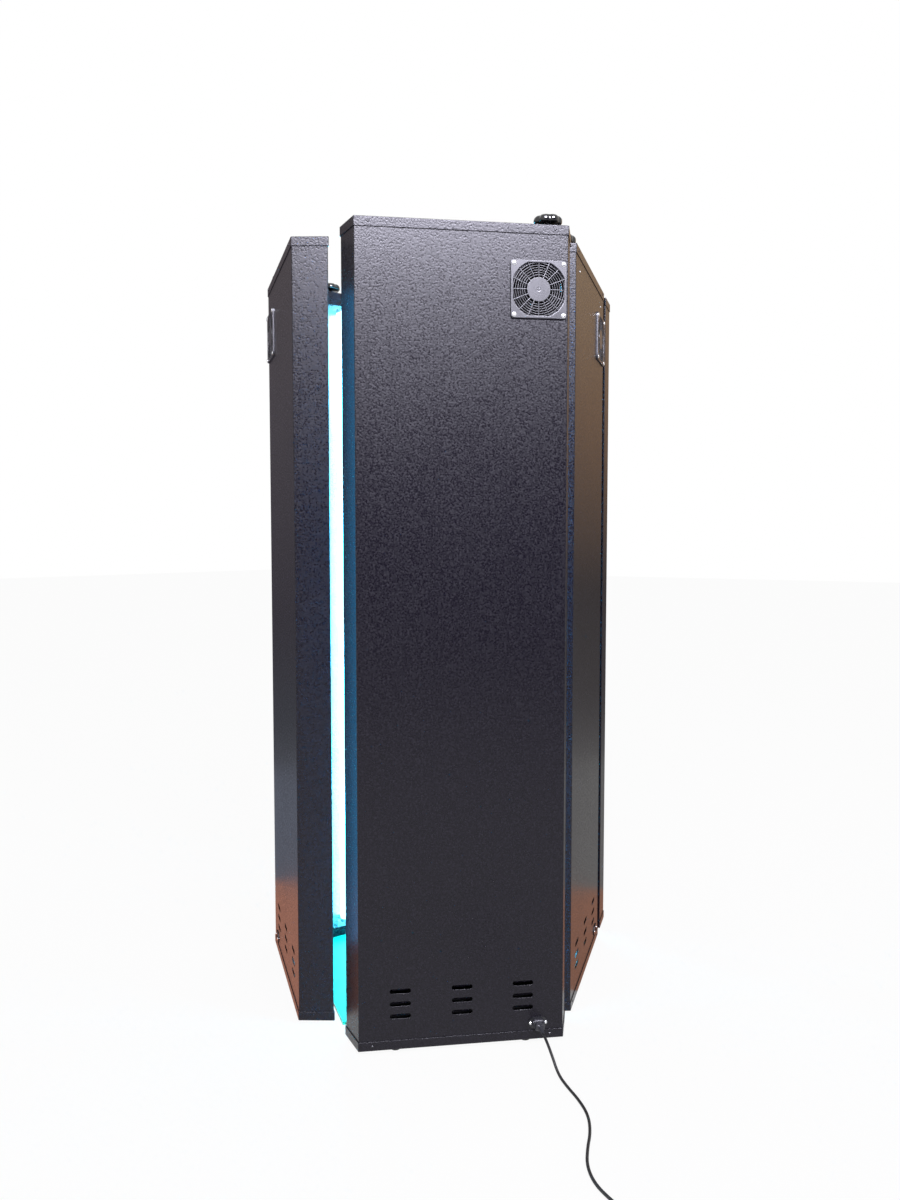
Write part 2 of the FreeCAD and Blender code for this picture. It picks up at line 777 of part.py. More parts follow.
def floor_board():
    """Loose board that fills the standing space, hollowed where the wings' corners swing over it."""
    planes = [
        side_of(entrance + station_turn / 2, wing_reach),
        side_of(entrance + 1.5 * station_turn, side_reach),
        side_of(entrance - 180, wing_reach),
        side_of(entrance - 1.5 * station_turn, side_reach),
        side_of(entrance - station_turn / 2, wing_reach),
    ]
    corners = [crossing(planes[n], planes[(n + 1) % 5]) for n in range(5)]
    board = upright(corners, 0, board_thickness)
    corner_along, corner_depth = plan_of(cap_slip + cap_sheet)[2]
    swept = math.hypot(corner_along - stud_along, corner_depth - stud_depth) + board_relief
    for shut, local in ((right_wing_shut, right_stud), (left_wing_shut, left_stud)):
        board = board.cut(Part.makeCylinder(swept, board_thickness, shut.multVec(local)))
    return board


def mirrored(shape):
    return shape.mirror(Vector(0, 0, 0), Vector(1, 0, 0))


def placed(shape, place, hand):
    shape = shape if hand > 0 else mirrored(shape)
    shape = shape.copy()
    shape.Placement = place.multiply(shape.Placement)
    return shape


def save(name, shapes):
    solids = [solid for shape in shapes for solid in shape.Solids]
    for solid in solids:
        if not solid.isValid():
            print("not valid:", name)
    whole = solids[0] if len(solids) == 1 else Part.makeCompound(solids)
    whole.exportStep("parts/" + name + ".step")
    print(name, len(solids), "solids", round(sum(s.Volume for s in solids) / 1000), "cm3")


# ---- casings and caps
casing_shape = casing()
for name, (place, hand) in stations.items():
    save("casing_" + name, [placed(casing_shape, place, hand)])
    holes = [x for x, knobbed in stud_plan(name)]
    save("top_cap_" + name, [placed(top_cap(holes), place, hand)])
for group, names in groups.items():
    trays = []
    for name in names:
        place, hand = stations[name]
        trays.append(placed(bottom_cap([x for x, knobbed in stud_plan(name)]), place, hand))
    save("bottom_cap_" + group, trays)

# ---- what every cabinet holds
contents = {
    "lamps": lamps(),
    "lamp_holders": holders(),
    "reflector": [reflector()],
    "screen": screen(),
    "control_gear": control_gear(),
    "fan_frame": fan_frame(),
    "fan_guard": fan_guard(),
    "inlet": inlet(),
    "glides": glides(),
}
for kind, shapes in contents.items():
    for group, names in groups.items():
        save(kind + "_" + group,
             [placed(shape, *stations[name]) for name in names for shape in shapes])
for group, names in groups.items():
    save("fasteners_" + group,
         [placed(shape, *stations[name]) for name in names for shape in fasteners(name)])
rotor_shape = fan_rotor()[0]
for name, (place, hand) in stations.items():
    save("fan_rotor_" + name, [placed(rotor_shape, place, hand)])

# ---- knobs and plates that join the cabinets
joints = [
    ("right_wing", 1, "right_side", -1),
    ("left_wing", -1, "left_side", 1),
    ("right_side", 1, "back", -1),
    ("left_side", -1, "back", 1),
]
straps_top = []
straps_bottom = []
for first, first_end, second, second_end in joints:
    start = stations[first][0].multVec(Vector(first_end * stud_along, stud_depth, 0))
    end = stations[second][0].multVec(Vector(second_end * stud_along, stud_depth, 0))
    low = booth_height + plate_gap
    straps_top.append(link_plate(start, end, low, low + top_plate))
    high = glide_height - plate_gap
    straps_bottom.append(link_plate(start, end, high - bottom_plate, high))
    if "wing" in first:
        save("hand_knob_" + first, [hand_knob(stations[first][0], first_end * stud_along)])
        save("hand_knob_" + second, [hand_knob(stations[second][0], second_end * stud_along)])
save("top_link_plates", straps_top)
save("bottom_link_plates", straps_bottom)
save("floor_board", [floor_board()])


# ---- supply lead, laid out from the right wing's face
lead_place = stations["right_wing"][0]


def from_face(along, out, up):
    return lead_place.multVec(Vector(along, -out, up))


def rounded_path(points):
    """Straight runs joined by tangent arcs as large as the runs allow."""
    edges = []
    start = points[0]
    radii = []
    for before, corner, after in zip(points, points[1:], points[2:]):
        back = before - corner
        ahead = after - corner
        trim = arc_share * min(back.Length, ahead.Length)
        back.normalize()
        ahead.normalize()
        turn = math.pi - back.getAngle(ahead)
        radius = trim / math.tan(turn / 2)
        radii.append((round(radius), round(math.degrees(turn))))
        leave = corner + back * trim
        join = corner + ahead * trim
        inward = back + ahead
        inward.normalize()
        middle = corner + inward * (radius / math.cos(turn / 2) - radius)
        edges.append(Part.LineSegment(start, leave).toShape())
        edges.append(Part.Arc(leave, middle, join).toShape())
        start = join
    edges.append(Part.LineSegment(start, points[-1]).toShape())
    return Part.Wire(edges), radii


route = [from_face(*point) for point in lead_route]
path, radii = rounded_path(route)
print("lead radii and turns", radii)
heading = route[1] - route[0]
ring = Part.Wire(Part.makeCircle(lead_diameter / 2, route[0], heading))
lead = path.makePipeShell([ring], True, False)
expected = math.pi * (lead_diameter / 2) ** 2 * path.Length
print("lead length", round(path.Length), "volume ratio", round(lead.Volume / expected, 4))
save("supply_lead", [lead])

# The coil's outer shape: a fat ring of the turns, lying on the floor.
coil_wide = coil_turns_wide * lead_diameter
coil_tall = coil_turns_high * lead_diameter
coil_centre = from_face(coil_along, coil_out, seat_gap)
outer = coil_mean_radius + coil_wide / 2
inner = coil_mean_radius - coil_wide / 2
coil = Part.makeCylinder(outer, coil_tall, coil_centre)
coil = coil.cut(Part.makeCylinder(inner, coil_tall, coil_centre))
save("lead_coil", [coil])

# Connector in the inlet, with its strain relief.
nose = block(socket_width - 2 * nose_slip, socket_depth, socket_tall - 2 * nose_slip,
             inlet_along, -inlet_flange, inlet_height - socket_tall / 2 + nose_slip)
pocket = block(socket_width - pocket_tall + 2 * pocket_slip, socket_depth, pocket_tall,
               inlet_along, socket_depth - socket_pin - pocket_slip, inlet_height - pocket_tall / 2)
shoulder = -inlet_flange - connector_length
grip = block(connector_width, connector_length, connector_tall,
             inlet_along, shoulder, inlet_height - connector_tall / 2)
grip = grip.makeFillet(connector_edge, [edge for edge in grip.Edges if inward_edge(edge)])
relief = Part.makeCone(lead_diameter / 2 + relief_wall, relief_base_radius, relief_length,
                       Vector(inlet_along, shoulder - relief_length, inlet_height),
                       Vector(0, 1, 0))
connector = grip.fuse(nose.cut(pocket)).fuse(relief).removeSplitter()
connector.Placement = lead_place.multiply(connector.Placement)
save("lead_connector", [connector])

# Mains plug lying on the coil, its tail following the turns.
plug = Part.makeBox(plug_length, plug_width, plug_tall)
plug = plug.makeFillet(plug_edge, [edge for edge in plug.Edges if upright_edge(edge)])
for dy in (-plug_pin_pitch / 2, plug_pin_pitch / 2):
    foot = Vector(plug_length, plug_width / 2 + dy, plug_tall / 2)
    plug = plug.fuse(Part.makeCylinder(plug_pin_radius, plug_pin, foot, Vector(1, 0, 0)))
tail = Vector(0, plug_width / 2, plug_tall / 2)
plug = plug.fuse(Part.makeCone(relief_base_radius, lead_diameter / 2 + relief_wall, plug_relief,
                               tail, Vector(-1, 0, 0)))
plug = plug.removeSplitter()
plug.translate(Vector(-plug_length, -plug_width / 2, 0))
plug.rotate(Vector(0, 0, 0), Vector(0, 0, 1), 180)
plug_out = coil_out + coil_mean_radius - plug_inset
plug.translate(Vector(coil_along - plug_back, -plug_out, 2 * seat_gap + coil_tall))
plug.Placement = lead_place.multiply(plug.Placement)
save("mains_plug", [plug])
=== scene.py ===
import json
import math

import bmesh
import bpy
from mathutils import Matrix, Vector


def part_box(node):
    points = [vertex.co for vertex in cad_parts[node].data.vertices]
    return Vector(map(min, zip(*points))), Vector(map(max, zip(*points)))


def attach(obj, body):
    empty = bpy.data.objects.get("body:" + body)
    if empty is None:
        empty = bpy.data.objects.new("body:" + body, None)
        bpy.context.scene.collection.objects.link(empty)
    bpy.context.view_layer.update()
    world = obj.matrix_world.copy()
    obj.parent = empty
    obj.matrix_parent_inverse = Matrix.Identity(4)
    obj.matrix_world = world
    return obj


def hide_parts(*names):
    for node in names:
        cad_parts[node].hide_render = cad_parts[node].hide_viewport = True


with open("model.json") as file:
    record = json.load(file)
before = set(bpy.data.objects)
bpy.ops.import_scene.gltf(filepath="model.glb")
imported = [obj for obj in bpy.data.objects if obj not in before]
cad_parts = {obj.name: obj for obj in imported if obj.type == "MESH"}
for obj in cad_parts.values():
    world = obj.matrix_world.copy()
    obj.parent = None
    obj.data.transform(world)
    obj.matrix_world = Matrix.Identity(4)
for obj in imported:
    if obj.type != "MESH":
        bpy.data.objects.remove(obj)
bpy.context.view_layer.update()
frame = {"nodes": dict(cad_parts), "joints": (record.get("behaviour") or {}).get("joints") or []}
nodes = frame["nodes"]
mm = 0.001
print("frame loaded:", len(nodes), "nodes")


# Each cabinet has its own axes: X along the face, Y inwards from the face, Z up.
# The fan's axle gives them, because it stands square to the face at a known place.
cabinet = {
    "names": ["right_wing", "left_wing", "right_side", "left_side", "back"],
    "fanAlong": 190 * mm,
    "fanHeight": 1921 * mm,
    "fanDepth": 12 * mm,
}


def cabinetAxes(name):
    axle = next(j for j in frame["joints"] if j["name"] == "fan_" + name + "_spin")
    inward = -Vector(axle["axis"]).normalized()
    up = Vector((0, 0, 1))
    along = inward.cross(up)
    side = -1 if name.startswith("left") else 1
    corner = (Vector(axle["pos_m"]) - along * side * cabinet["fanAlong"]
              - inward * cabinet["fanDepth"] - up * cabinet["fanHeight"])
    axes = Matrix((along, inward, up)).transposed().to_4x4()
    axes.translation = corner
    return axes


def bodyOf(name):
    return name if name.endswith("wing") else "root"


def groupOf(name):
    return name if name.endswith("wing") else "ring"


# Materials
def linear(hexColour):
    parts = [int(hexColour[i:i + 2], 16) / 255 for i in (1, 3, 5)]
    return [p / 12.92 if p <= 0.04045 else ((p + 0.055) / 1.055) ** 2.4 for p in parts] + [1]


# Cycles of a pattern in one metre, from the size of one cycle in millimetres.
def perMetre(size):
    return 1000 / size


# Adds a node. Inputs are other nodes' outputs or plain values; the rest are its settings.
def addNode(tree, kind, inputs, **settings):
    node = tree.nodes.new(kind)
    for name, value in settings.items():
        setattr(node, name, value)
    for name, value in inputs.items():
        if isinstance(value, bpy.types.NodeSocket):
            tree.links.new(value, node.inputs[name])
        else:
            node.inputs[name].default_value = value
    return node


def startMaterial(name, colour, **surface):
    material = bpy.data.materials.new(name)
    material.use_nodes = True
    tree = material.node_tree
    shader = tree.nodes["Principled BSDF"]
    shader.inputs["Base Color"].default_value = linear(colour)
    for socket, value in surface.items():
        shader.inputs[socket.replace("_", " ")].default_value = value
    place = addNode(tree, "ShaderNodeTexCoord", {}).outputs["Object"]
    return material, tree, shader, place


# Lets a pattern shift the surface, as far as the facts say: two shades between two of its
# levels, the roughness, and the height in millimetres.
def followPattern(tree, shader, pattern, facts, normal=None):
    if "shades" in facts:
        ramp = addNode(tree, "ShaderNodeValToRGB", {"Fac": pattern})
        stops = ramp.color_ramp.elements
        for stop, level, shade in zip(stops, facts["between"], facts["shades"]):
            stop.position, stop.color = level, linear(shade)
        tree.links.new(ramp.outputs["Color"], shader.inputs["Base Color"])
    if "roughness" in facts:
        low, high = facts["roughness"]
        sheen = addNode(tree, "ShaderNodeMapRange", {
            "Value": pattern, "To Min": low, "To Max": high})
        tree.links.new(sheen.outputs["Result"], shader.inputs["Roughness"])
    if "depth" in facts:
        inputs = {"Height": pattern, "Distance": facts["depth"] * mm, "Strength": 1.0}
        if normal is not None:
            inputs["Normal"] = normal
        bump = addNode(tree, "ShaderNodeBump", inputs)
        tree.links.new(bump.outputs["Normal"], shader.inputs["Normal"])


# Paint on a metal where the mask is 1: its colour, and no metal there.
def paintOver(tree, shader, mask, colour):
    bare = shader.inputs["Base Color"].links[0].from_socket
    paint = addNode(tree, "ShaderNodeMix", {0: mask, "A": bare, "B": linear(colour)},
                    data_type="RGBA")
    tree.links.new(paint.outputs["Result"], shader.inputs["Base Color"])
    metal = addNode(tree, "ShaderNodeMath", {0: 1.0, 1: mask}, operation="SUBTRACT")
    tree.links.new(metal.outputs["Value"], shader.inputs["Metallic"])


powderCoat = {
    # the grain's tips are drawn lighter as a painted glint, and its hollows darker as painted
    # shade
    "shades": ("#110d19", "#1c1924"),   # of the hollows and of the grain's tips
    "between": (0.46, 0.72),
    "sheen": (0.29, 0.34),
    "speck": 0.34,          # how far the grain itself shifts the roughness
    "specular": 0.30,
    "grain": 4.4,           # the real grain is about 1 mm; drawn coarse enough to show
    "handling": 260.0,      # size of the patches that hands and cloths leave
    "depth": 0.32,
    "fold": 2.2,            # radius that the sheet's folds and the coat's edges show
}


# Polyester powder coat, baked on sheet steel with a fine leather grain: the grain breaks the
# highlight into specks, and where nothing is mirrored it is an even soft black.
def texturedPowderCoat():
    material, tree, shader, place = startMaterial(
        "textured_powder_coat", powderCoat["shades"][0],
        Specular_IOR_Level=powderCoat["specular"])
    grain = addNode(tree, "ShaderNodeTexNoise", {
        "Vector": place, "Scale": perMetre(powderCoat["grain"]), "Detail": 0.6}).outputs["Fac"]
    handling = addNode(tree, "ShaderNodeTexNoise", {
        "Vector": place, "Scale": perMetre(powderCoat["handling"]), "Detail": 4.0,
        "Roughness": 0.55}).outputs["Fac"]
    low, high = powderCoat["sheen"]
    speck = powderCoat["speck"]
    worn = addNode(tree, "ShaderNodeMapRange", {
        "Value": handling, "To Min": low - speck / 2, "To Max": high - speck / 2})
    specked = addNode(tree, "ShaderNodeMath", {0: grain, 1: speck, 2: worn.outputs["Result"]},
                      operation="MULTIPLY_ADD")
    tree.links.new(specked.outputs["Value"], shader.inputs["Roughness"])
    fold = addNode(tree, "ShaderNodeBevel", {"Radius": powderCoat["fold"] * mm}, samples=4)
    # The grain shifts the shade too: the lighter tips are a painted glint and the darker hollows
    # painted shade.
    followPattern(tree, shader, grain, powderCoat, fold.outputs["Normal"])
    return material


# Plastics, each with two shades, its roughness, and the size and depth of the grain that was
# spark eroded into its mould.
plastics = {
    # the guards: satin black plastic, drawn grey, a little lighter than the coat, as a painted
    # highlight
    "satin_abs": {"shades": ("#2e2e34", "#3b3b42"), "roughness": 0.34, "specular": 0.5,
                  "grain": 1.6, "depth": 0.05},
    # the fans: dull, so that they stay dark behind the guards, and drawn darker than black plastic
    # as painted shade
    "glass_filled_pbt": {"shades": ("#060607", "#0b0b0c"), "roughness": 0.72, "specular": 0.12,
                         "grain": 1.1, "depth": 0.06},
    # the inlets: black with a soft gloss
    "moulded_nylon": {"shades": ("#17171c", "#25252b"), "roughness": 0.34, "specular": 0.5,
                      "grain": 1.6, "depth": 0.05},
    # the connector and the plug: softer and greyer, moulded over the lead
    "overmoulded_pvc": {"shades": ("#23232b", "#32323b"), "roughness": 0.38, "specular": 0.5,
                        "grain": 1.4, "depth": 0.05},
    # the lamp holders: white, with an even sheen
    "moulded_polycarbonate": {"shades": ("#dfe2e1", "#eef0ef"), "roughness": 0.4,
                              "specular": 0.5, "grain": 1.2, "depth": 0.03},
}
moulding = {
    "flow": 35.0,           # size of the cloudy patches that the flow in the mould leaves
    "between": (0.35, 0.7),
    "glossier": 0.05,
    "duller": 0.06,
}


# Injection moulded: the flow clouds the shade and the gloss, and the spark grain takes the edge
# off the highlight.
def mouldedPlastic(name):
    facts = plastics[name]
    material, tree, shader, place = startMaterial(
        name, facts["shades"][0], Specular_IOR_Level=facts["specular"])
    spark = addNode(tree, "ShaderNodeTexNoise", {
        "Vector": place, "Scale": perMetre(facts["grain"]), "Detail": 2.0}).outputs["Fac"]
    flow = addNode(tree, "ShaderNodeTexNoise", {
        "Vector": place, "Scale": perMetre(moulding["flow"]), "Detail": 2.0}).outputs["Fac"]
    followPattern(tree, shader, flow, {
        "shades": facts["shades"], "between": moulding["between"],
        "roughness": (facts["roughness"] - moulding["glossier"],
                      facts["roughness"] + moulding["duller"])})
    followPattern(tree, shader, spark, {"depth": facts["depth"]})
    return material


phenolic = {
    "shades": ("#0d0d0f", "#1b1a1c"), "between": (0.4, 0.75), "roughness": (0.12, 0.24),
    "flow": 14.0, "depth": 0.04, "polish": 0.4, "polishRoughness": 0.08,
}


# Phenolic resin, moulded in a polished tool: near black with a tight bright highlight.
def mouldedPhenolic():
    material, tree, shader, place = startMaterial(
        "moulded_phenolic", phenolic["shades"][0], Coat_Weight=phenolic["polish"],
        Coat_Roughness=phenolic["polishRoughness"])
    flow = addNode(tree, "ShaderNodeTexNoise", {
        "Vector": place, "Scale": perMetre(phenolic["flow"]), "Detail": 3.0}).outputs["Fac"]
    followPattern(tree, shader, flow, phenolic)
    return material


plate = {
    "shades": ("#d7d8da", "#f1f2f3"), "between": (0.3, 0.7), "roughness": (0.14, 0.3),
    "marks": 0.9, "depth": 0.01,
}


# Zinc-nickel plated steel: bright silver, with faint tumbling marks.
def brightPlate():
    material, tree, shader, place = startMaterial(
        "bright_nickel_plate", plate["shades"][0], Metallic=1.0)
    marks = addNode(tree, "ShaderNodeTexNoise", {
        "Vector": place, "Scale": perMetre(plate["marks"]), "Detail": 3.0}).outputs["Fac"]
    followPattern(tree, shader, marks, plate)
    return material


capLip = {
    "lowerTop": 35 * mm,
    "upperMiddle": 2068 * mm,
    "upperHalf": 12 * mm,
}


# The same plated screws, but those in the lips of the caps went through the coating oven with
# them: black up to the height of the lower lip and between the upper lip's edges.
def coatedAndBrightScrews():
    material = brightPlate()
    material.name = "plated_and_coated_screws"
    tree = material.node_tree
    shader = tree.nodes["Principled BSDF"]
    place = addNode(tree, "ShaderNodeTexCoord", {}).outputs["Object"]
    height = addNode(tree, "ShaderNodeSeparateXYZ", {"Vector": place}).outputs["Z"]
    lower = addNode(tree, "ShaderNodeMath", {0: height, 1: capLip["lowerTop"]},
                    operation="LESS_THAN").outputs["Value"]
    upper = addNode(tree, "ShaderNodeMath", {0: height, 1: capLip["upperMiddle"],
                                             2: capLip["upperHalf"]},
                    operation="COMPARE").outputs["Value"]
    coated = addNode(tree, "ShaderNodeMath", {0: lower, 1: upper},
                     operation="MAXIMUM").outputs["Value"]
    paintOver(tree, shader, coated, powderCoat["shades"][1])
    return material


zinc = {
    "shades": ("#85888b", "#b6b9bb"), "between": (0.2, 0.8), "roughness": (0.32, 0.5),
    "spangle": 9.0,
}


# Galvanised sheet: crystals of zinc a few millimetres across, each a slightly other grey.
def galvanisedSheet():
    material, tree, shader, place = startMaterial(
        "galvanised_sheet", zinc["shades"][0], Metallic=1.0)
    spangle = addNode(tree, "ShaderNodeTexVoronoi", {
        "Vector": place, "Scale": perMetre(zinc["spangle"])}, feature="F1").outputs["Color"]
    followPattern(tree, shader, spangle, zinc)
    return material


hammered = {
    "shades": ("#b9bcbf", "#d6d8da"), "between": (0.1, 0.8), "hammer": 8.0, "depth": 0.8,
    "lacquerAndShade": "#08080a",
    "sheens": (0.36, 0.9),      # roughness of the bright face and of the lacquered back
    "backFrom": 0.02,           # what looks outwards by more than this is the back
}


# Aluminium sheet rolled with a hammered face: a soft mirror that breaks the lamps into dabs.
# Its back, the side turned away from the cabin's middle, is matt black: a lacquer, and painted
# shade that keeps the cabin dark behind the fan guards.
def hammeredAluminium():
    material, tree, shader, place = startMaterial(
        "hammered_aluminium", hammered["shades"][0], Metallic=1.0)
    hammer = addNode(tree, "ShaderNodeTexVoronoi", {
        "Vector": place, "Scale": perMetre(hammered["hammer"])},
        feature="SMOOTH_F1").outputs["Distance"]
    followPattern(tree, shader, hammer, hammered)
    flat = addNode(tree, "ShaderNodeVectorMath", {0: place, 1: (1, 1, 0)},
                   operation="MULTIPLY").outputs["Vector"]
    facing = addNode(tree, "ShaderNodeTexCoord", {}).outputs["Normal"]
    outward = addNode(tree, "ShaderNodeVectorMath", {0: flat, 1: facing},
                      operation="DOT_PRODUCT").outputs["Value"]
    back = addNode(tree, "ShaderNodeMath", {0: outward, 1: hammered["backFrom"]},
                   operation="GREATER_THAN").outputs["Value"]
    # The back is painted black: a lacquer, and painted shade for the dark cabin behind the fan
    # guards.
    paintOver(tree, shader, back, hammered["lacquerAndShade"])
    followPattern(tree, shader, back, {"roughness": hammered["sheens"]})
    return material


clearSheet = {
    "tint": "#d9eef2",
    "alpha": 0.14,
    "roughness": (0.04, 0.12),
    "haze": 120.0,
}


# Cast acrylic sheet: clear, with a faint blue tint and a polished face.
# It is drawn by alpha, so that the lamps light the cabin through it.
def castAcrylic():
    material, tree, shader, place = startMaterial(
        "cast_acrylic", clearSheet["tint"], Alpha=clearSheet["alpha"], IOR=1.49)
    haze = addNode(tree, "ShaderNodeTexNoise", {
        "Vector": place, "Scale": perMetre(clearSheet["haze"]), "Detail": 3.0}).outputs["Fac"]
    followPattern(tree, shader, haze, {"roughness": clearSheet["roughness"]})
    return material


tube = {
    "glow": ("#48c6f8", "#5cd4fa"),
    "strength": 19.0,
    "skin": "#e9f6f7",
    "cloud": 60.0,          # size of the patches where the phosphor lies thicker
}


# Soda-lime glass, coated inside with phosphor and lit: burns out to white and throws a blue-green
# light, a little stronger where the coat is thicker.
def litPhosphorGlass():
    material, tree, shader, place = startMaterial(
        "lit_phosphor_glass", tube["skin"], Roughness=0.12, Emission_Strength=tube["strength"])
    cloud = addNode(tree, "ShaderNodeTexNoise", {
        "Vector": place, "Scale": perMetre(tube["cloud"]), "Detail": 2.0}).outputs["Fac"]
    ramp = addNode(tree, "ShaderNodeValToRGB", {"Fac": cloud})
    for stop, shade in zip(ramp.color_ramp.elements, tube["glow"]):
        stop.color = linear(shade)
    tree.links.new(ramp.outputs["Color"], shader.inputs["Emission Color"])
    return material


melamine = {
    # turquoise shades: painted light of the lamps on a pale board
    "shades": ("#04ab86", "#0abb95"), "between": (0.35, 0.7), "roughness": (0.26, 0.4),
    "pearl": 7.0,           # the real print is finer; drawn coarse enough to show
    "depth": 0.02,
}


# Melamine-faced board, pale, drawn turquoise: the turquoise is the lamps' blue-green light painted
# on it; smooth, with a very fine pearl in the print.
def melamineBoard():
    material, tree, shader, place = startMaterial("melamine_board", melamine["shades"][0])
    pearl = addNode(tree, "ShaderNodeTexNoise", {
        "Vector": place, "Scale": perMetre(melamine["pearl"]), "Detail": 5.0}).outputs["Fac"]
    followPattern(tree, shader, pearl, melamine)
    return material


sheath = {
    "shades": ("#141415", "#232324"), "between": (0.35, 0.75), "roughness": (0.36, 0.52),
    "wax": 11.0, "depth": 0.04,
}


# Soft PVC, extruded over the cores: dull black with a waxy highlight.
def extrudedPvc():
    material, tree, shader, place = startMaterial("extruded_pvc", sheath["shades"][0])
    wax = addNode(tree, "ShaderNodeTexNoise", {
        "Vector": place, "Scale": perMetre(sheath["wax"]), "Detail": 4.0}).outputs["Fac"]
    followPattern(tree, shader, wax, sheath)
    return material


glide = {
    "shades": ("#1a1a1b", "#343435"), "between": (0.4, 0.8), "bloom": 6.0, "depth": 0.06,
}


# Nitrile rubber, moulded: matt, with a bloom of paler dust.
def mouldedRubber():
    material, tree, shader, place = startMaterial(
        "moulded_rubber", glide["shades"][0], Roughness=0.75)
    bloom = addNode(tree, "ShaderNodeTexNoise", {
        "Vector": place, "Scale": perMetre(glide["bloom"]), "Detail": 5.0}).outputs["Fac"]
    followPattern(tree, shader, bloom, glide)
    return material


tape = {
    "shades": ("#121214", "#28282c"), "between": (0.2, 0.9), "roughness": (0.8, 0.95),
    "rib": 1.6,             # of a ridge, and of the groove beside it
    "perUnit": 6.28,        # about as many ridges and grooves lie in a unit of the wave texture
    "depth": 0.15,
}


# Nylon tape with hooks and loops, woven: dull black with a fine crosswise rib.
def wovenNylon():
    material, tree, shader, place = startMaterial("woven_nylon_tape", tape["shades"][0])
    rib = addNode(tree, "ShaderNodeTexWave", {
        "Vector": place, "Scale": perMetre(tape["rib"]) / tape["perUnit"], "Distortion": 0.6})
    followPattern(tree, shader, rib.outputs["Fac"], tape)
    return material


coat = texturedPowderCoat()
guardPlastic = mouldedPlastic("satin_abs")
fanPlastic = mouldedPlastic("glass_filled_pbt")
inletPlastic = mouldedPlastic("moulded_nylon")
plugPlastic = mouldedPlastic("overmoulded_pvc")
holderPlastic = mouldedPlastic("moulded_polycarbonate")
knobPlastic = mouldedPhenolic()
plating = brightPlate()
screwPlating = coatedAndBrightScrews()
zincSheet = galvanisedSheet()
mirrorSheet = hammeredAluminium()
acrylic = castAcrylic()
phosphorGlass = litPhosphorGlass()
laminate = melamineBoard()
cableSheath = extrudedPvc()
rubber = mouldedRubber()
print("materials made:", len(bpy.data.materials))

finishes = {
    "casing": coat, "top_cap": coat, "bottom_cap": coat,
    "top_link": coat, "bottom_link": coat,
    "lamp_holders": holderPlastic, "reflector": mirrorSheet, "screen": acrylic,
    "control_gear": zincSheet, "fan_frame": fanPlastic, "fan_rotor": fanPlastic,
    "fan_guard": guardPlastic, "inlet": inletPlastic, "glides": rubber,
    "fasteners": screwPlating, "hand_knob": knobPlastic, "floor_board": laminate,
    "lamps": phosphorGlass, "supply_lead": cableSheath, "lead_coil": cableSheath,
    "lead_connector": plugPlastic, "mains_plug": plugPlastic,
}
for name, node in nodes.items():
    finish = next(m for start, m in finishes.items() if name.startswith(start))
    if not node.material_slots:
        node.data.materials.append(finish)
    for place in node.material_slots:
        place.material = finish
print("finishes given to the frame's nodes")


# Mesh helpers
sharpFrom = math.radians(38)    # an edge that bends more than this stays sharp


def meshPiece(name, points, faces, material, smooth=True):
    mesh = bpy.data.meshes.new(name)
    mesh.from_pydata([tuple(p) for p in points], [], faces)
    mesh.update()
    shape = bmesh.new()
    shape.from_mesh(mesh)
    bmesh.ops.recalc_face_normals(shape, faces=shape.faces)
    shape.to_mesh(mesh)
    shape.free()
    mesh.materials.append(material)
    if smooth:
        mesh.shade_smooth()
        mesh.set_sharp_from_angle(angle=sharpFrom)
    piece = bpy.data.objects.new(name, mesh)
    bpy.context.scene.collection.objects.link(piece)
    return piece


# Points and faces of a closed skin through rings of equal count: capped at both ends, or with
# its last ring joined to the first.
def skin(rings, looped=False):
    count, rows = len(rings[0]), len(rings)
    points = [p for ring in rings for p in ring]
    faces = []
    for r in range(rows if looped else rows - 1):
        after = (r + 1) % rows
        for i in range(count):
            j = (i + 1) % count
            faces.append((r * count + i, r * count + j, after * count + j, after * count + i))
    if not looped:
        faces.append(tuple(range(count)))
        faces.append(tuple((rows - 1) * count + i for i in range(count)))
    return points, faces


# Joins several skins into one.
def together(skins):
    points, faces = [], []
    for somePoints, someFaces in skins:
        start = len(points)
        points += [Vector(p) for p in somePoints]
        faces += [tuple(start + i for i in face) for face in someFaces]
    return points, faces


def ringOf(radius, height, steps):
    turns = [2 * math.pi * i / steps for i in range(steps)]
    return [Vector((radius * math.cos(t), radius * math.sin(t), height)) for t in turns]


# A solid of revolution about Z from (radius, height) pairs.
def turned(profile, steps):
    return skin([ringOf(radius, height, steps) for radius, height in profile])


def moved(shape, matrix):
    points, faces = shape
    return [matrix @ Vector(p) for p in points], faces


# A ring with the outline of a rounded rectangle, in the plane across its own Y.
def roundedRing(width, height, corner, at, steps=6):
    ring = []
    for quarter in range(4):
        sx = 1 if quarter in (0, 3) else -1
        sz = 1 if quarter in (0, 1) else -1
        for i in range(steps + 1):
            t = math.pi / 2 * (quarter + i / steps)
            ring.append(Vector((sx * (width / 2 - corner) + corner * math.cos(t), at,
                                sz * (height / 2 - corner) + corner * math.sin(t))))
    return ring


# Lamps. Those of the back cabinet stand square to the frame's axes, so their box gives the sizes.
lampLow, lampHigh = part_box("lamps_ring")
lamp = {
    "radius": 19 * mm,
    "pitch": 184 * mm,
    "depth": 62 * mm,        # of its axis behind the outer face
    "pin": 7 * mm,
    "pinRadius": 1.2 * mm,
    "pinPitch": 12.7 * mm,
    "cap": 12 * mm,
    "capInset": 0.3 * mm,    # under the glass's radius
    "neckInset": 1.6 * mm,
    "shoulder": 5 * mm,      # where the neck widens to the tube
    "sides": 32,
}


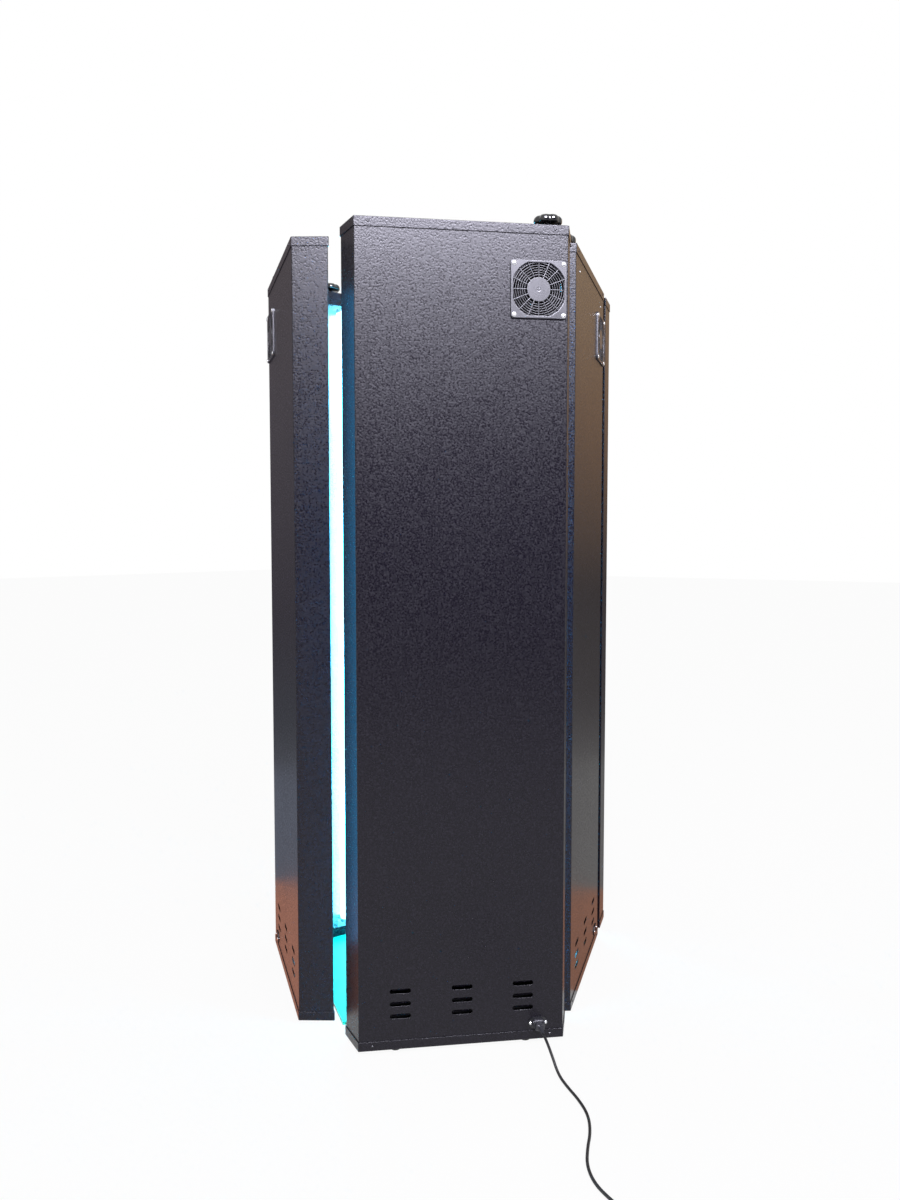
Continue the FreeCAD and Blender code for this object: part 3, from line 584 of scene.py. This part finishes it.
def lampTube(x):
    r, low, high = lamp["radius"], lampLow.z + lamp["pin"], lampHigh.z - lamp["pin"]
    neck, start = r - lamp["neckInset"], low + lamp["cap"]
    profile = [(neck, low + lamp["cap"] * 0.6), (neck, start)]
    for i in range(1, 6):
        t = math.pi / 2 * i / 5
        profile.append((neck + (r - neck) * math.sin(t),
                        start + lamp["shoulder"] * (1 - math.cos(t))))
    upper = [(radius, low + high - z) for radius, z in reversed(profile)]
    return moved(turned(profile + upper, lamp["sides"]),
                 Matrix.Translation((x, lamp["depth"], 0)))


def lampCap(x, end):
    r, cap = lamp["radius"] - lamp["capInset"], lamp["cap"]
    groove = r - 0.7 * mm
    profile = [(r * 0.55, 0), (r * 0.93, 0), (r, 1.2 * mm), (r, cap * 0.45),
               (groove, cap * 0.5), (groove, cap * 0.62), (r, cap * 0.67),
               (r, cap - 0.6 * mm), (r - 0.6 * mm, cap)]
    pinRadius, pinEnd = lamp["pinRadius"], -lamp["pin"]
    pin = turned([(pinRadius * 0.6, pinEnd), (pinRadius, pinEnd + 1 * mm),
                  (pinRadius, 1 * mm)], 12)
    pins = [moved(pin, Matrix.Translation((side * lamp["pinPitch"] / 2, 0, 0)))
            for side in (-1, 1)]
    whole = together([turned(profile, lamp["sides"])] + pins)
    low, high = lampLow.z + lamp["pin"], lampHigh.z - lamp["pin"]
    flip = Matrix.Identity(4) if end < 0 else Matrix.Rotation(math.pi, 4, "X")
    return moved(whole, Matrix.Translation((x, lamp["depth"], low if end < 0 else high)) @ flip)


def makeLamps():
    places = (-lamp["pitch"], 0, lamp["pitch"])
    tubes = together([lampTube(x) for x in places])
    caps = together([lampCap(x, end) for x in places for end in (-1, 1)])
    for name in cabinet["names"]:
        axes = cabinetAxes(name)
        for kind, shape, finish in (("lamp_tubes_", tubes, phosphorGlass),
                                    ("lamp_caps_", caps, mirrorSheet)):
            piece = meshPiece(kind + name, *moved(shape, axes), finish)
            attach(piece, bodyOf(name))
            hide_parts("lamps_" + groupOf(name))


makeLamps()
print("lamps made")


# Hand knobs, moulded with seven lobes
knob = {
    "radius": 36.5 * mm,
    "height": 30 * mm,
    "neck": 7 * mm,
    "neckRadius": 13 * mm,
    "lobes": 7,
    "flute": 4.6 * mm,
    "fluteTaper": 2.2,     # the higher, the narrower the flutes
    "crown": 105 * mm,     # radius of the domed top
    "steps": 126,
}


# Radius of the lobed head at an angle: broad lobes with narrower flutes between them.
def lobedRadius(radius, angle, share):
    wave = 0.5 + 0.5 * math.cos(knob["lobes"] * angle)
    return radius - share * knob["flute"] * wave ** knob["fluteTaper"]


def makeKnobs():
    r, neck, neckRadius = knob["radius"], knob["neck"], knob["neckRadius"]
    # radius, height and how much of the flute shows there
    rows = [(neckRadius - 0.8 * mm, 0, 0), (neckRadius, 0.8 * mm, 0), (neckRadius, neck, 0),
            (r - 6 * mm, neck + 0.4 * mm, 0.5), (r - 2.2 * mm, neck + 1.6 * mm, 1),
            (r - 0.4 * mm, neck + 4 * mm, 1), (r, neck + 7.5 * mm, 1),
            (r - 0.3 * mm, neck + 12 * mm, 1), (r - 1.8 * mm, neck + 15.5 * mm, 1),
            (r - 5 * mm, neck + 18.6 * mm, 0.8)]
    for share in (0.72, 0.56, 0.4, 0.25, 0.1, 0.02):
        fall = (r * share) ** 2 / (2 * knob["crown"])
        rows.append((r * share, knob["height"] - fall - 0.2 * mm, 0.6 * share))
    rings = []
    for radius, z, share in rows:
        ring = []
        for i in range(knob["steps"]):
            t = 2 * math.pi * i / knob["steps"]
            reach = lobedRadius(radius, t, share)
            ring.append(Vector((reach * math.cos(t), reach * math.sin(t), z)))
        rings.append(ring)
    shape = skin(rings)
    for joint in frame["joints"]:
        if joint["name"].startswith("hand_knob"):
            body = joint["child"]
            piece = meshPiece(body + "_head", *moved(shape, Matrix.Translation(joint["pos_m"])),
                              knobPlastic)
            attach(piece, body)
            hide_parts(body)


makeKnobs()
print("hand knobs made")


# Fan guards: a square rim, a hub, rings and spokes
guard = {
    "size": 142 * mm,
    "thickness": 5 * mm,
    "corner": 7 * mm,
    "hole": 70 * mm,
    "flats": 129 * mm,
    "hub": 30 * mm,
    "rings": 6,
    "spokes": 16,
    "spoke": 2.3 * mm,
    "ring": 1.7 * mm,
    "barFront": 4 * mm,      # how far the spokes' fronts stand off the casing
    "ringFront": 3.1 * mm,
    "barDepth": 2.6 * mm,
    "gate": 2.5 * mm,        # the mould's gate mark in the middle
    "steps": 144,
    "ringSteps": 96,
}


# How far the rounded square reaches at an angle.
def squareReach(angle):
    c, s = abs(math.cos(angle)), abs(math.sin(angle))
    half, r = guard["size"] / 2, guard["corner"]
    middle = half - r
    if half / max(c, s) * min(c, s) <= middle:
        return half / max(c, s)
    b = middle * (c + s)
    return b + math.sqrt(b * b - (2 * middle * middle - r * r))


def holeReach(angle):
    c, s = abs(math.cos(angle)), abs(math.sin(angle))
    return min(guard["hole"], guard["flats"] / 2 / max(c, s))


def guardRim():
    depth = guard["thickness"]
    # reach, offset from it and how far out
    rows = [(squareReach, 0, 0), (squareReach, 0, depth - 1.3 * mm),
            (squareReach, -0.4 * mm, depth - 0.4 * mm), (squareReach, -1.3 * mm, depth),
            (squareReach, -1.7 * mm, depth), (holeReach, 1.5 * mm, depth),
            (holeReach, 1.2 * mm, depth), (holeReach, 0.35 * mm, depth - 0.35 * mm),
            (holeReach, 0, depth - 1.2 * mm), (holeReach, 0, 0)]
    rings = []
    for reach, offset, out in rows:
        ring = []
        for i in range(guard["steps"]):
            t = 2 * math.pi * (i + 0.5) / guard["steps"]
            r = reach(t) + offset
            ring.append(Vector((r * math.cos(t), -out, r * math.sin(t))))
        rings.append(ring)
    return skin(rings, looped=True)


# Rounded-top section of a bar: offsets across it and how far each stands behind its front.
def barSection(width, depth):
    half = width / 2
    return [(-half, depth), (-half, 0.35 * half), (-0.62 * half, 0.08 * half), (0, 0),
            (0.62 * half, 0.08 * half), (half, 0.35 * half), (half, depth)]


def guardRing(radius):
    steps = guard["ringSteps"]
    turns = [2 * math.pi * i / steps for i in range(steps)]
    rings = []
    for across, back in barSection(guard["ring"], guard["barDepth"] - 1 * mm):
        out = guard["ringFront"] - back
        r = radius + across
        rings.append([Vector((r * math.cos(t), -out, r * math.sin(t))) for t in turns])
    return skin(rings, looped=True)


def guardSpoke(angle):
    start, end = guard["hub"] - 1 * mm, holeReach(angle) + 0.6 * mm
    section = barSection(guard["spoke"], guard["barDepth"])
    rings = []
    for radius in (start, end):
        rings.append([Vector((across, -(guard["barFront"] - back), radius))
                      for across, back in section])
    return moved(skin(rings), Matrix.Rotation(math.pi / 2 - angle, 4, "Y"))


def guardHub():
    r, front, gate = guard["hub"], guard["barFront"], guard["gate"]
    profile = [(r * 0.5, front - guard["barDepth"]), (r, front - guard["barDepth"]),
               (r, front - 0.9 * mm), (r - 0.3 * mm, front - 0.3 * mm), (r - 0.9 * mm, front),
               (r - 1.4 * mm, front), (gate * 2.4, front), (gate * 2.2, front),
               (gate * 1.9, front - 0.25 * mm), (gate * 1.5, front - 0.25 * mm),
               (gate * 1.2, front - 0.05 * mm), (gate, front - 0.3 * mm),
               (gate * 0.8, front - 0.8 * mm), (gate * 0.2, front - 0.8 * mm)]
    return moved(turned(profile, 72), Matrix.Rotation(math.pi / 2, 4, "X"))


def makeGuards():
    gap = (guard["flats"] / 2 - guard["hub"]) / guard["rings"]
    parts = [guardRim(), guardHub()]
    parts += [guardRing(guard["hub"] + n * gap) for n in range(1, guard["rings"] + 1)]
    parts += [guardSpoke(2 * math.pi * n / guard["spokes"]) for n in range(guard["spokes"])]
    shape = together(parts)
    for name in cabinet["names"]:
        side = -1 if name.startswith("left") else 1
        place = cabinetAxes(name) @ Matrix.Translation((side * cabinet["fanAlong"], 0,
                                                        cabinet["fanHeight"]))
        piece = meshPiece("grille_" + name, *moved(shape, place), guardPlastic)
        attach(piece, bodyOf(name))
        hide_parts("fan_guard_" + groupOf(name))


makeGuards()
print("fan guards made")


# Supply lead. Places along the face, out from it and up are in millimetres.
lead = {
    "diameter": 7 * mm,
    "length": 1.88,      # of the free cord, in metres
    "floor": 3.9,        # height of its axis where it lies on the floor
    "coilAlong": 186.0,
    "coilOut": 680.0,
    "coilOuter": 45.5,   # radii of the outer and the inner turn
    "coilInner": 31.3,
    "pitch": 7.1,
    "climb": 0.5,        # turns taken to rise from the lower layer to the upper
    "perTurn": 16,
    "entry": -18.8,      # degrees round the coil where the lead runs in
}
wingAxes = cabinetAxes("right_wing")


# A point of the lead: along the face, out from it and up, in millimetres.
def fromFace(along, out, up):
    return wingAxes @ Vector((along * mm, -out * mm, up * mm))


leadRoute = [
    (199.0, 61.0, 52.0),
    (199.0, 92.0, 52.0),
    (203.0, 132.0, 36.0),
    (209.0, 172.0, 9.0),
    (219.0, 216.0, 3.9),
    (232.0, 272.0, 3.9),
    (237.0, 332.0, 3.9),
    (224.0, 392.0, 3.9),
    (201.0, 446.0, 3.9),
    (184.0, 500.0, 3.9),
    (184.0, 555.0, 3.9),
    (202.0, 605.0, 3.9),
    (223.5, 649.0, 3.9),
]


# The coil: in at the outside of the lower layer, inwards, up a layer and outwards again.
def coilRoute():
    outer, inner, pitch, climb = lead["coilOuter"], lead["coilInner"], lead["pitch"], lead["climb"]
    spiral = (outer - inner) / pitch
    whole = 2 * spiral + climb
    count = round(whole * lead["perTurn"])
    route = []
    for i in range(count + 1):
        turn = whole * i / count
        if turn < spiral:
            radius, up = outer - pitch * turn, 0
        elif turn < spiral + climb:
            share = (turn - spiral) / climb
            radius, up = inner, pitch * share * share * (3 - 2 * share)
        else:
            radius, up = inner + pitch * (turn - spiral - climb), pitch
        angle = math.radians(lead["entry"]) + 2 * math.pi * turn
        route.append((lead["coilAlong"] + radius * math.cos(angle),
                      lead["coilOut"] + radius * math.sin(angle), lead["floor"] + up))
    return route


# Off the top of the coil and round to the plug that lies on it.
leadTail = [
    (140.6, 675.2, 13.2),
    (147.8, 657.0, 16.2),
    (162.0, 644.4, 17.9),
    (179.5, 639.2, 18.3),
    (197.2, 641.0, 18.7),
    (214.5, 648.8, 19.2),
    (229.7, 660.8, 20.0),
    (238.0, 675.2, 21.6),
    (238.0, 691.8, 23.6),
    (229.7, 706.2, 25.6),
    (215.3, 714.5, 27.1),
    (207.0, 714.5, 27.1),
]


def makeLead():
    curve = bpy.data.curves.new("supply_lead_sheath", "CURVE")
    curve.dimensions = "3D"
    curve.bevel_depth = lead["diameter"] / 2
    curve.bevel_resolution = 5
    curve.use_fill_caps = True
    line = curve.splines.new("NURBS")
    route = [fromFace(*p) for p in leadRoute + coilRoute() + leadTail]
    line.points.add(len(route) - 1)
    for point, where in zip(line.points, route):
        point.co = (*where, 1)
    line.order_u = 3
    line.use_endpoint_u = True
    line.resolution_u = 8
    curve.materials.append(cableSheath)
    piece = bpy.data.objects.new("supply_lead_sheath", curve)
    bpy.context.scene.collection.objects.link(piece)
    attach(piece, "right_wing")
    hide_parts("supply_lead", "lead_coil")
    return piece


# A circle with as many points as roundedRing gives, across its own Y.
def roundRing(radius, at):
    return roundedRing(2 * radius, 2 * radius, radius, at)


sleeve = {
    "half": 0.2,             # half the width of a ridge or a slot, in ribs
    "slot": 1.1 * mm,
}


# Ribbed sleeve that tapers along the lead: ridges and slots one after the other.
def sleeveRings(start, length, radii, ribs):
    rings, half = [], sleeve["half"] / ribs
    for n in range(2 * ribs + 1):
        share = n / (2 * ribs)
        r = radii[0] + (radii[1] - radii[0]) * share
        near, far = start + length * (share - half), start + length * (share + half)
        if n % 2:
            r -= sleeve["slot"]
        rings += [roundRing(r, max(near, start)), roundRing(r, min(far, start + length))]
    return rings


connector = {
    "along": 199 * mm,
    "height": 52 * mm,
    "nose": (23.8 * mm, 16 * mm),
    "noseDepth": 11.5 * mm,
    "grip": (27 * mm, 21 * mm),
    "face": 3 * mm,
    "ridges": 4,             # for the fingers
    "length": 30 * mm,
    "relief": 28 * mm,
    "reliefRadii": (6.4 * mm, 4.4 * mm),
    "ribs": 6,
}

mainsPlug = {
    "face": 141 * mm,
    "out": 714.5 * mm,
    "height": 27.1 * mm,
    "body": (38 * mm, 25 * mm),
    "length": 46 * mm,
    "relief": 20 * mm,
    "reliefRadii": (6.4 * mm, 4.4 * mm),
    "ribs": 4,
    "pinRadius": 2.4 * mm,
    "pinLength": 19 * mm,
    "pinPitch": 19 * mm,
}


# Moulded on the lead: a nose in the socket, a grip with finger ridges and a ribbed sleeve.
def makeConnector():
    wide, tall = connector["grip"]
    noseWide, noseTall = connector["nose"]
    face, length = connector["face"], connector["length"]
    rings = [roundedRing(noseWide, noseTall, 2 * mm, -connector["noseDepth"]),
             roundedRing(noseWide, noseTall, 2 * mm, face),
             roundedRing(wide - 1.6 * mm, tall - 1.6 * mm, 3.6 * mm, face + 0.1 * mm),
             roundedRing(wide, tall, 4.2 * mm, face + 1 * mm),
             roundedRing(wide, tall, 4.2 * mm, face + 5 * mm)]
    for n in range(connector["ridges"]):
        at = face + (7 + 3.2 * n) * mm
        rings += [roundedRing(wide - 1.8 * mm, tall - 1.2 * mm, 4 * mm, at),
                  roundedRing(wide - 1.8 * mm, tall - 1.2 * mm, 4 * mm, at + 1.1 * mm),
                  roundedRing(wide - 0.3 * n * mm, tall - 0.2 * n * mm, 4.2 * mm, at + 1.7 * mm),
                  roundedRing(wide - 0.3 * n * mm, tall - 0.2 * n * mm, 4.2 * mm, at + 2.6 * mm)]
    rings += [roundedRing(wide - 3 * mm, tall - 2.4 * mm, 5 * mm, face + length - 6 * mm),
              roundedRing(wide - 6 * mm, tall - 5 * mm, 6 * mm, face + length - 2 * mm),
              roundRing(7.2 * mm, face + length)]
    rings += sleeveRings(face + length, connector["relief"], connector["reliefRadii"],
                         connector["ribs"])
    along = wingAxes @ Matrix.Translation((connector["along"], 0, connector["height"]))
    facing = Matrix.Scale(-1, 4, Vector((0, 1, 0)))
    piece = meshPiece("connector_moulding", *moved(skin(rings), along @ facing), plugPlastic)
    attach(piece, "right_wing")
    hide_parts("lead_connector")
    return piece


# The plug that lies on the coil, with its pins pointing along the face.
def makePlug():
    wide, tall = mainsPlug["body"]
    length = mainsPlug["length"]
    rings = [roundedRing(wide - 3 * mm, tall - 3 * mm, 5 * mm, 0),
             roundedRing(wide - 0.8 * mm, tall - 0.8 * mm, 6 * mm, 0.6 * mm),
             roundedRing(wide, tall, 6.4 * mm, 2.4 * mm),
             roundedRing(wide, tall, 6.4 * mm, length * 0.36),
             roundedRing(wide - 2 * mm, tall - 1.4 * mm, 7 * mm, length * 0.48),
             roundedRing(wide - 7 * mm, tall - 4 * mm, 8 * mm, length * 0.64),
             roundedRing(wide - 11 * mm, tall - 6 * mm, 8 * mm, length * 0.8),
             roundedRing(wide - 15 * mm, tall - 8 * mm, 8 * mm, length * 0.93),
             roundRing(7.2 * mm, length)]
    rings += sleeveRings(length, mainsPlug["relief"], mainsPlug["reliefRadii"], mainsPlug["ribs"])
    place = (wingAxes @ Matrix.Translation((mainsPlug["face"], -mainsPlug["out"],
                                            mainsPlug["height"]))
             @ Matrix.Rotation(-math.pi / 2, 4, "Z"))
    r, pinLength = mainsPlug["pinRadius"], mainsPlug["pinLength"]
    pins = []
    for side in (-1, 1):
        pin = turned([(r * 0.7, -2 * mm), (r, -2 * mm), (r, pinLength - 2 * mm),
                      (r * 0.86, pinLength - 0.9 * mm), (r * 0.5, pinLength)], 24)
        pins.append(moved(pin, Matrix.Translation((side * mainsPlug["pinPitch"] / 2, 0, 0))
                          @ Matrix.Rotation(math.pi / 2, 4, "X")))
    pieces = []
    for name, shape, finish, slot in (
            ("plug_moulding", skin(rings), plugPlastic, "plug_plastic"),
            ("plug_pins", together(pins), plating, "plug_plastic")):
        piece = meshPiece(name, *moved(shape, place), finish)
        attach(piece, "right_wing")
        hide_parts("mains_plug")
        pieces.append(piece)
    return pieces


tie = {
    "angle": 65.0,
    "width": 12 * mm,
    "reach": 21.6 * mm,      # across the turns
    "low": 0.3 * mm,
    "high": 14.7 * mm,
    "thickness": (0.25 * mm, 0.9 * mm),
}


# A hook-and-loop tie round the turns of the coil.
def makeTie():
    low, high = tie["low"], tie["high"]
    under, over = tie["thickness"]
    middle = (lead["coilOuter"] + lead["coilInner"]) / 2 * mm
    inner = [roundedRing(tie["reach"], high - low, 4 * mm, at)
             for at in (-tie["width"] / 2, tie["width"] / 2)]
    outer = []
    for ring in inner:
        outer.append([Vector((p.x + math.copysign(over, p.x), p.y,
                              p.z + (over if p.z > 0 else -under))) for p in ring])
    shape = skin([outer[0], outer[1], inner[1], inner[0]], looped=True)
    place = (wingAxes @ Matrix.Translation((lead["coilAlong"] * mm, -lead["coilOut"] * mm,
                                            (low + high) / 2))
             @ Matrix.Rotation(-math.radians(tie["angle"]), 4, "Z")
             @ Matrix.Translation((middle, 0, 0)))
    piece = meshPiece("lead_tie", *moved(shape, place), wovenNylon())
    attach(piece, "right_wing")
    return piece


leadSheath = makeLead()
leadPieces = [makeConnector(), *makePlug(), makeTie()]
print("supply lead made")


# Floor, backdrop, light and camera
studio = {
    "white": "#ffffff",
    "floor": "#fafafa",
    "floorSize": 60,
    "floorGlow": 0.93,     # how much of the floor's white is its own
    "worldLevel": 0.55,    # light of the world on things
    "cardLift": 2 * mm,
}

# Cards that only reflections see: they keep the coat dark where it is seen edge on. Their shades
# go from foot to top, and the floor before a card has strips of its own, each with its reach.
cards = {
    "front_card": {
        "at": (4.4, -3.3), "width": 9.0, "height": 3.5, "floor": (),
        "shades": ((0.0, "#9c98a8"), (0.2, "#4a3c80"), (0.5, "#2e2070"), (1.0, "#6a6292"))},
    "left_card": {
        "at": (-2.71, 0.47), "width": 2.8, "height": 3.4,
        "floor": ((1.75, "#939bad"), (1.15, "#ffb296")),
        "shades": ((0.0, "#7c8089"), (0.08, "#62666e"), (0.25, "#5c5860"), (0.6, "#7b747a"),
                   (1.0, "#8a7f80"))},
    "right_card": {
        "at": (-0.07, 2.9), "width": 2.8, "height": 3.4,
        "floor": ((2.1, "#a9a8a6"), (0.8, "#e0a285")),
        "shades": ((0.0, "#8f8d8b"), (0.1, "#6a6664"), (0.3, "#5a5450"), (0.6, "#c09a78"),
                   (1.0, "#ffd9ad"))},
}
cardFocus = Vector((0, -0.2, 0))


def makeCard(name, foot, span, rise, material):
    card = meshPiece(name, [foot - span, foot + span, foot + span + rise, foot - span + rise],
                     [(0, 1, 2, 3)], material, smooth=False)
    card.visible_camera = False
    card.visible_diffuse = False
    card.visible_transmission = False
    card.visible_shadow = False


def glowPaint(name, shade="#ffffff"):
    material = bpy.data.materials.new(name)
    material.use_nodes = True
    tree = material.node_tree
    tree.nodes.remove(tree.nodes["Principled BSDF"])
    glow = addNode(tree, "ShaderNodeEmission", {"Color": linear(shade)})
    tree.links.new(glow.outputs[0], tree.nodes["Material Output"].inputs["Surface"])
    return material, tree, glow


def shadedPaint(name, shades):
    material, tree, glow = glowPaint(name)
    place = addNode(tree, "ShaderNodeTexCoord", {}).outputs["Generated"]
    height = addNode(tree, "ShaderNodeSeparateXYZ", {"Vector": place}).outputs["Z"]
    ramp = addNode(tree, "ShaderNodeValToRGB", {"Fac": height})
    stops = ramp.color_ramp.elements
    while len(stops) < len(shades):
        stops.new(0.5)
    for stop, (position, shade) in zip(stops, shades):
        stop.position, stop.color = position, linear(shade)
    tree.links.new(ramp.outputs["Color"], glow.inputs["Color"])
    return material


def makeCards():
    for name, facts in cards.items():
        foot = Vector((*facts["at"], studio["cardLift"]))
        ahead = (cardFocus - foot).normalized()
        span = ahead.cross(Vector((0, 0, 1))) * facts["width"] / 2
        makeCard(name, foot, span, Vector((0, 0, facts["height"])),
                 shadedPaint(name, facts["shades"]))
        for n, (reach, shade) in enumerate(facts["floor"], 1):
            strip = name + "_foot_" + str(n)
            makeCard(strip, foot, span, ahead * reach, glowPaint(strip, shade)[0])
            foot = foot + ahead * reach


# 1 for what the camera sees, also in gloss or through something clear, and 0 for light on things.
def seenByEye(tree):
    ray = addNode(tree, "ShaderNodeLightPath", {})
    seen = ray.outputs["Is Camera Ray"]
    for kind in ("Is Glossy Ray", "Is Transmission Ray"):
        seen = addNode(tree, "ShaderNodeMath", {0: seen, 1: ray.outputs[kind]},
                       operation="MAXIMUM").outputs["Value"]
    return seen


def makeFloor():
    material, tree, glow = glowPaint("studio_floor", studio["white"])
    paint = addNode(tree, "ShaderNodeBsdfDiffuse", {"Color": linear(studio["floor"])})
    share = addNode(tree, "ShaderNodeMath", {0: seenByEye(tree), 1: studio["floorGlow"]},
                    operation="MULTIPLY")
    mix = addNode(tree, "ShaderNodeMixShader", {0: share.outputs["Value"], 1: paint.outputs[0],
                                                2: glow.outputs[0]})
    tree.links.new(mix.outputs[0], tree.nodes["Material Output"].inputs["Surface"])
    size = studio["floorSize"] / 2
    floor = meshPiece("studio_floor", [(-size, -size, 0), (size, -size, 0), (size, size, 0),
                                       (-size, size, 0)], [(0, 1, 2, 3)], material, smooth=False)


def makeWorld():
    world = bpy.data.worlds.new("studio_white")
    bpy.context.scene.world = world
    world.use_nodes = True
    tree = world.node_tree
    level = addNode(tree, "ShaderNodeMapRange", {
        "Value": seenByEye(tree), "To Min": studio["worldLevel"], "To Max": 1.0})
    background = tree.nodes["Background"]
    background.inputs["Color"].default_value = linear(studio["white"])
    tree.links.new(level.outputs["Result"], background.inputs["Strength"])


studioLights = {
    "overhead_softbox": {"at": (3.49, -3.58, 4.4), "aim": (0, -0.3, 1.6), "size": (5.0, 1.4),
                         "power": 200, "colour": "#f3f2ff", "glossOnly": False},
    "gloss_strip": {"at": (3.49, -3.58, 4.9), "aim": (0, -0.3, 1.6), "size": (5.0, 1.4),
                    "power": 1900, "colour": "#eeecff", "glossOnly": True},
    # the lamps' light that comes out through the gap and lies along the wings' ends
    "gap_glow": {"at": (-0.09, -0.6, 1.08), "aim": (0.9, -0.74, 1.08), "size": (0.12, 1.76),
                 "power": 2.2, "colour": "#00a3eb", "glossOnly": True},
}


def makeLights():
    for name, facts in studioLights.items():
        light = bpy.data.lights.new(name, "AREA")
        light.shape = "RECTANGLE"
        light.size, light.size_y = facts["size"]
        light.energy = facts["power"]
        light.color = linear(facts["colour"])[:3]
        holder = bpy.data.objects.new(name, light)
        bpy.context.scene.collection.objects.link(holder)
        holder.location = facts["at"]
        aim = Vector(facts["aim"]) - Vector(facts["at"])
        holder.rotation_euler = aim.to_track_quat("-Z", "Y").to_euler()
        holder.visible_camera = False
        holder.visible_diffuse = not facts["glossOnly"]


camera = {
    "at": (1.6447, -2.3864, 1.2994),
    "turn": 34.83,       # degrees from +Y towards -X
    "tilt": -3.56,
    "focal": 943.5,      # in pixels of a frame of this height
    "frame": 1200,
    "sensor": 36,
    "farthest": 200,
}


def makeCamera():
    data = bpy.data.cameras.new("camera")
    data.sensor_width = camera["sensor"]
    data.lens = camera["sensor"] * camera["focal"] / camera["frame"]
    data.clip_end = camera["farthest"]
    holder = bpy.data.objects.new("camera", data)
    bpy.context.scene.collection.objects.link(holder)
    turn, tilt = math.radians(camera["turn"]), math.radians(camera["tilt"])
    ahead = Vector((-math.sin(turn) * math.cos(tilt), math.cos(turn) * math.cos(tilt),
                    math.sin(tilt)))
    holder.location = camera["at"]
    holder.rotation_euler = ahead.to_track_quat("-Z", "Y").to_euler()
    bpy.context.scene.camera = holder


makeFloor()
makeWorld()
makeCards()
makeLights()
makeCamera()
bpy.context.scene.view_settings.view_transform = "Standard"
print("stage, lights and camera set")
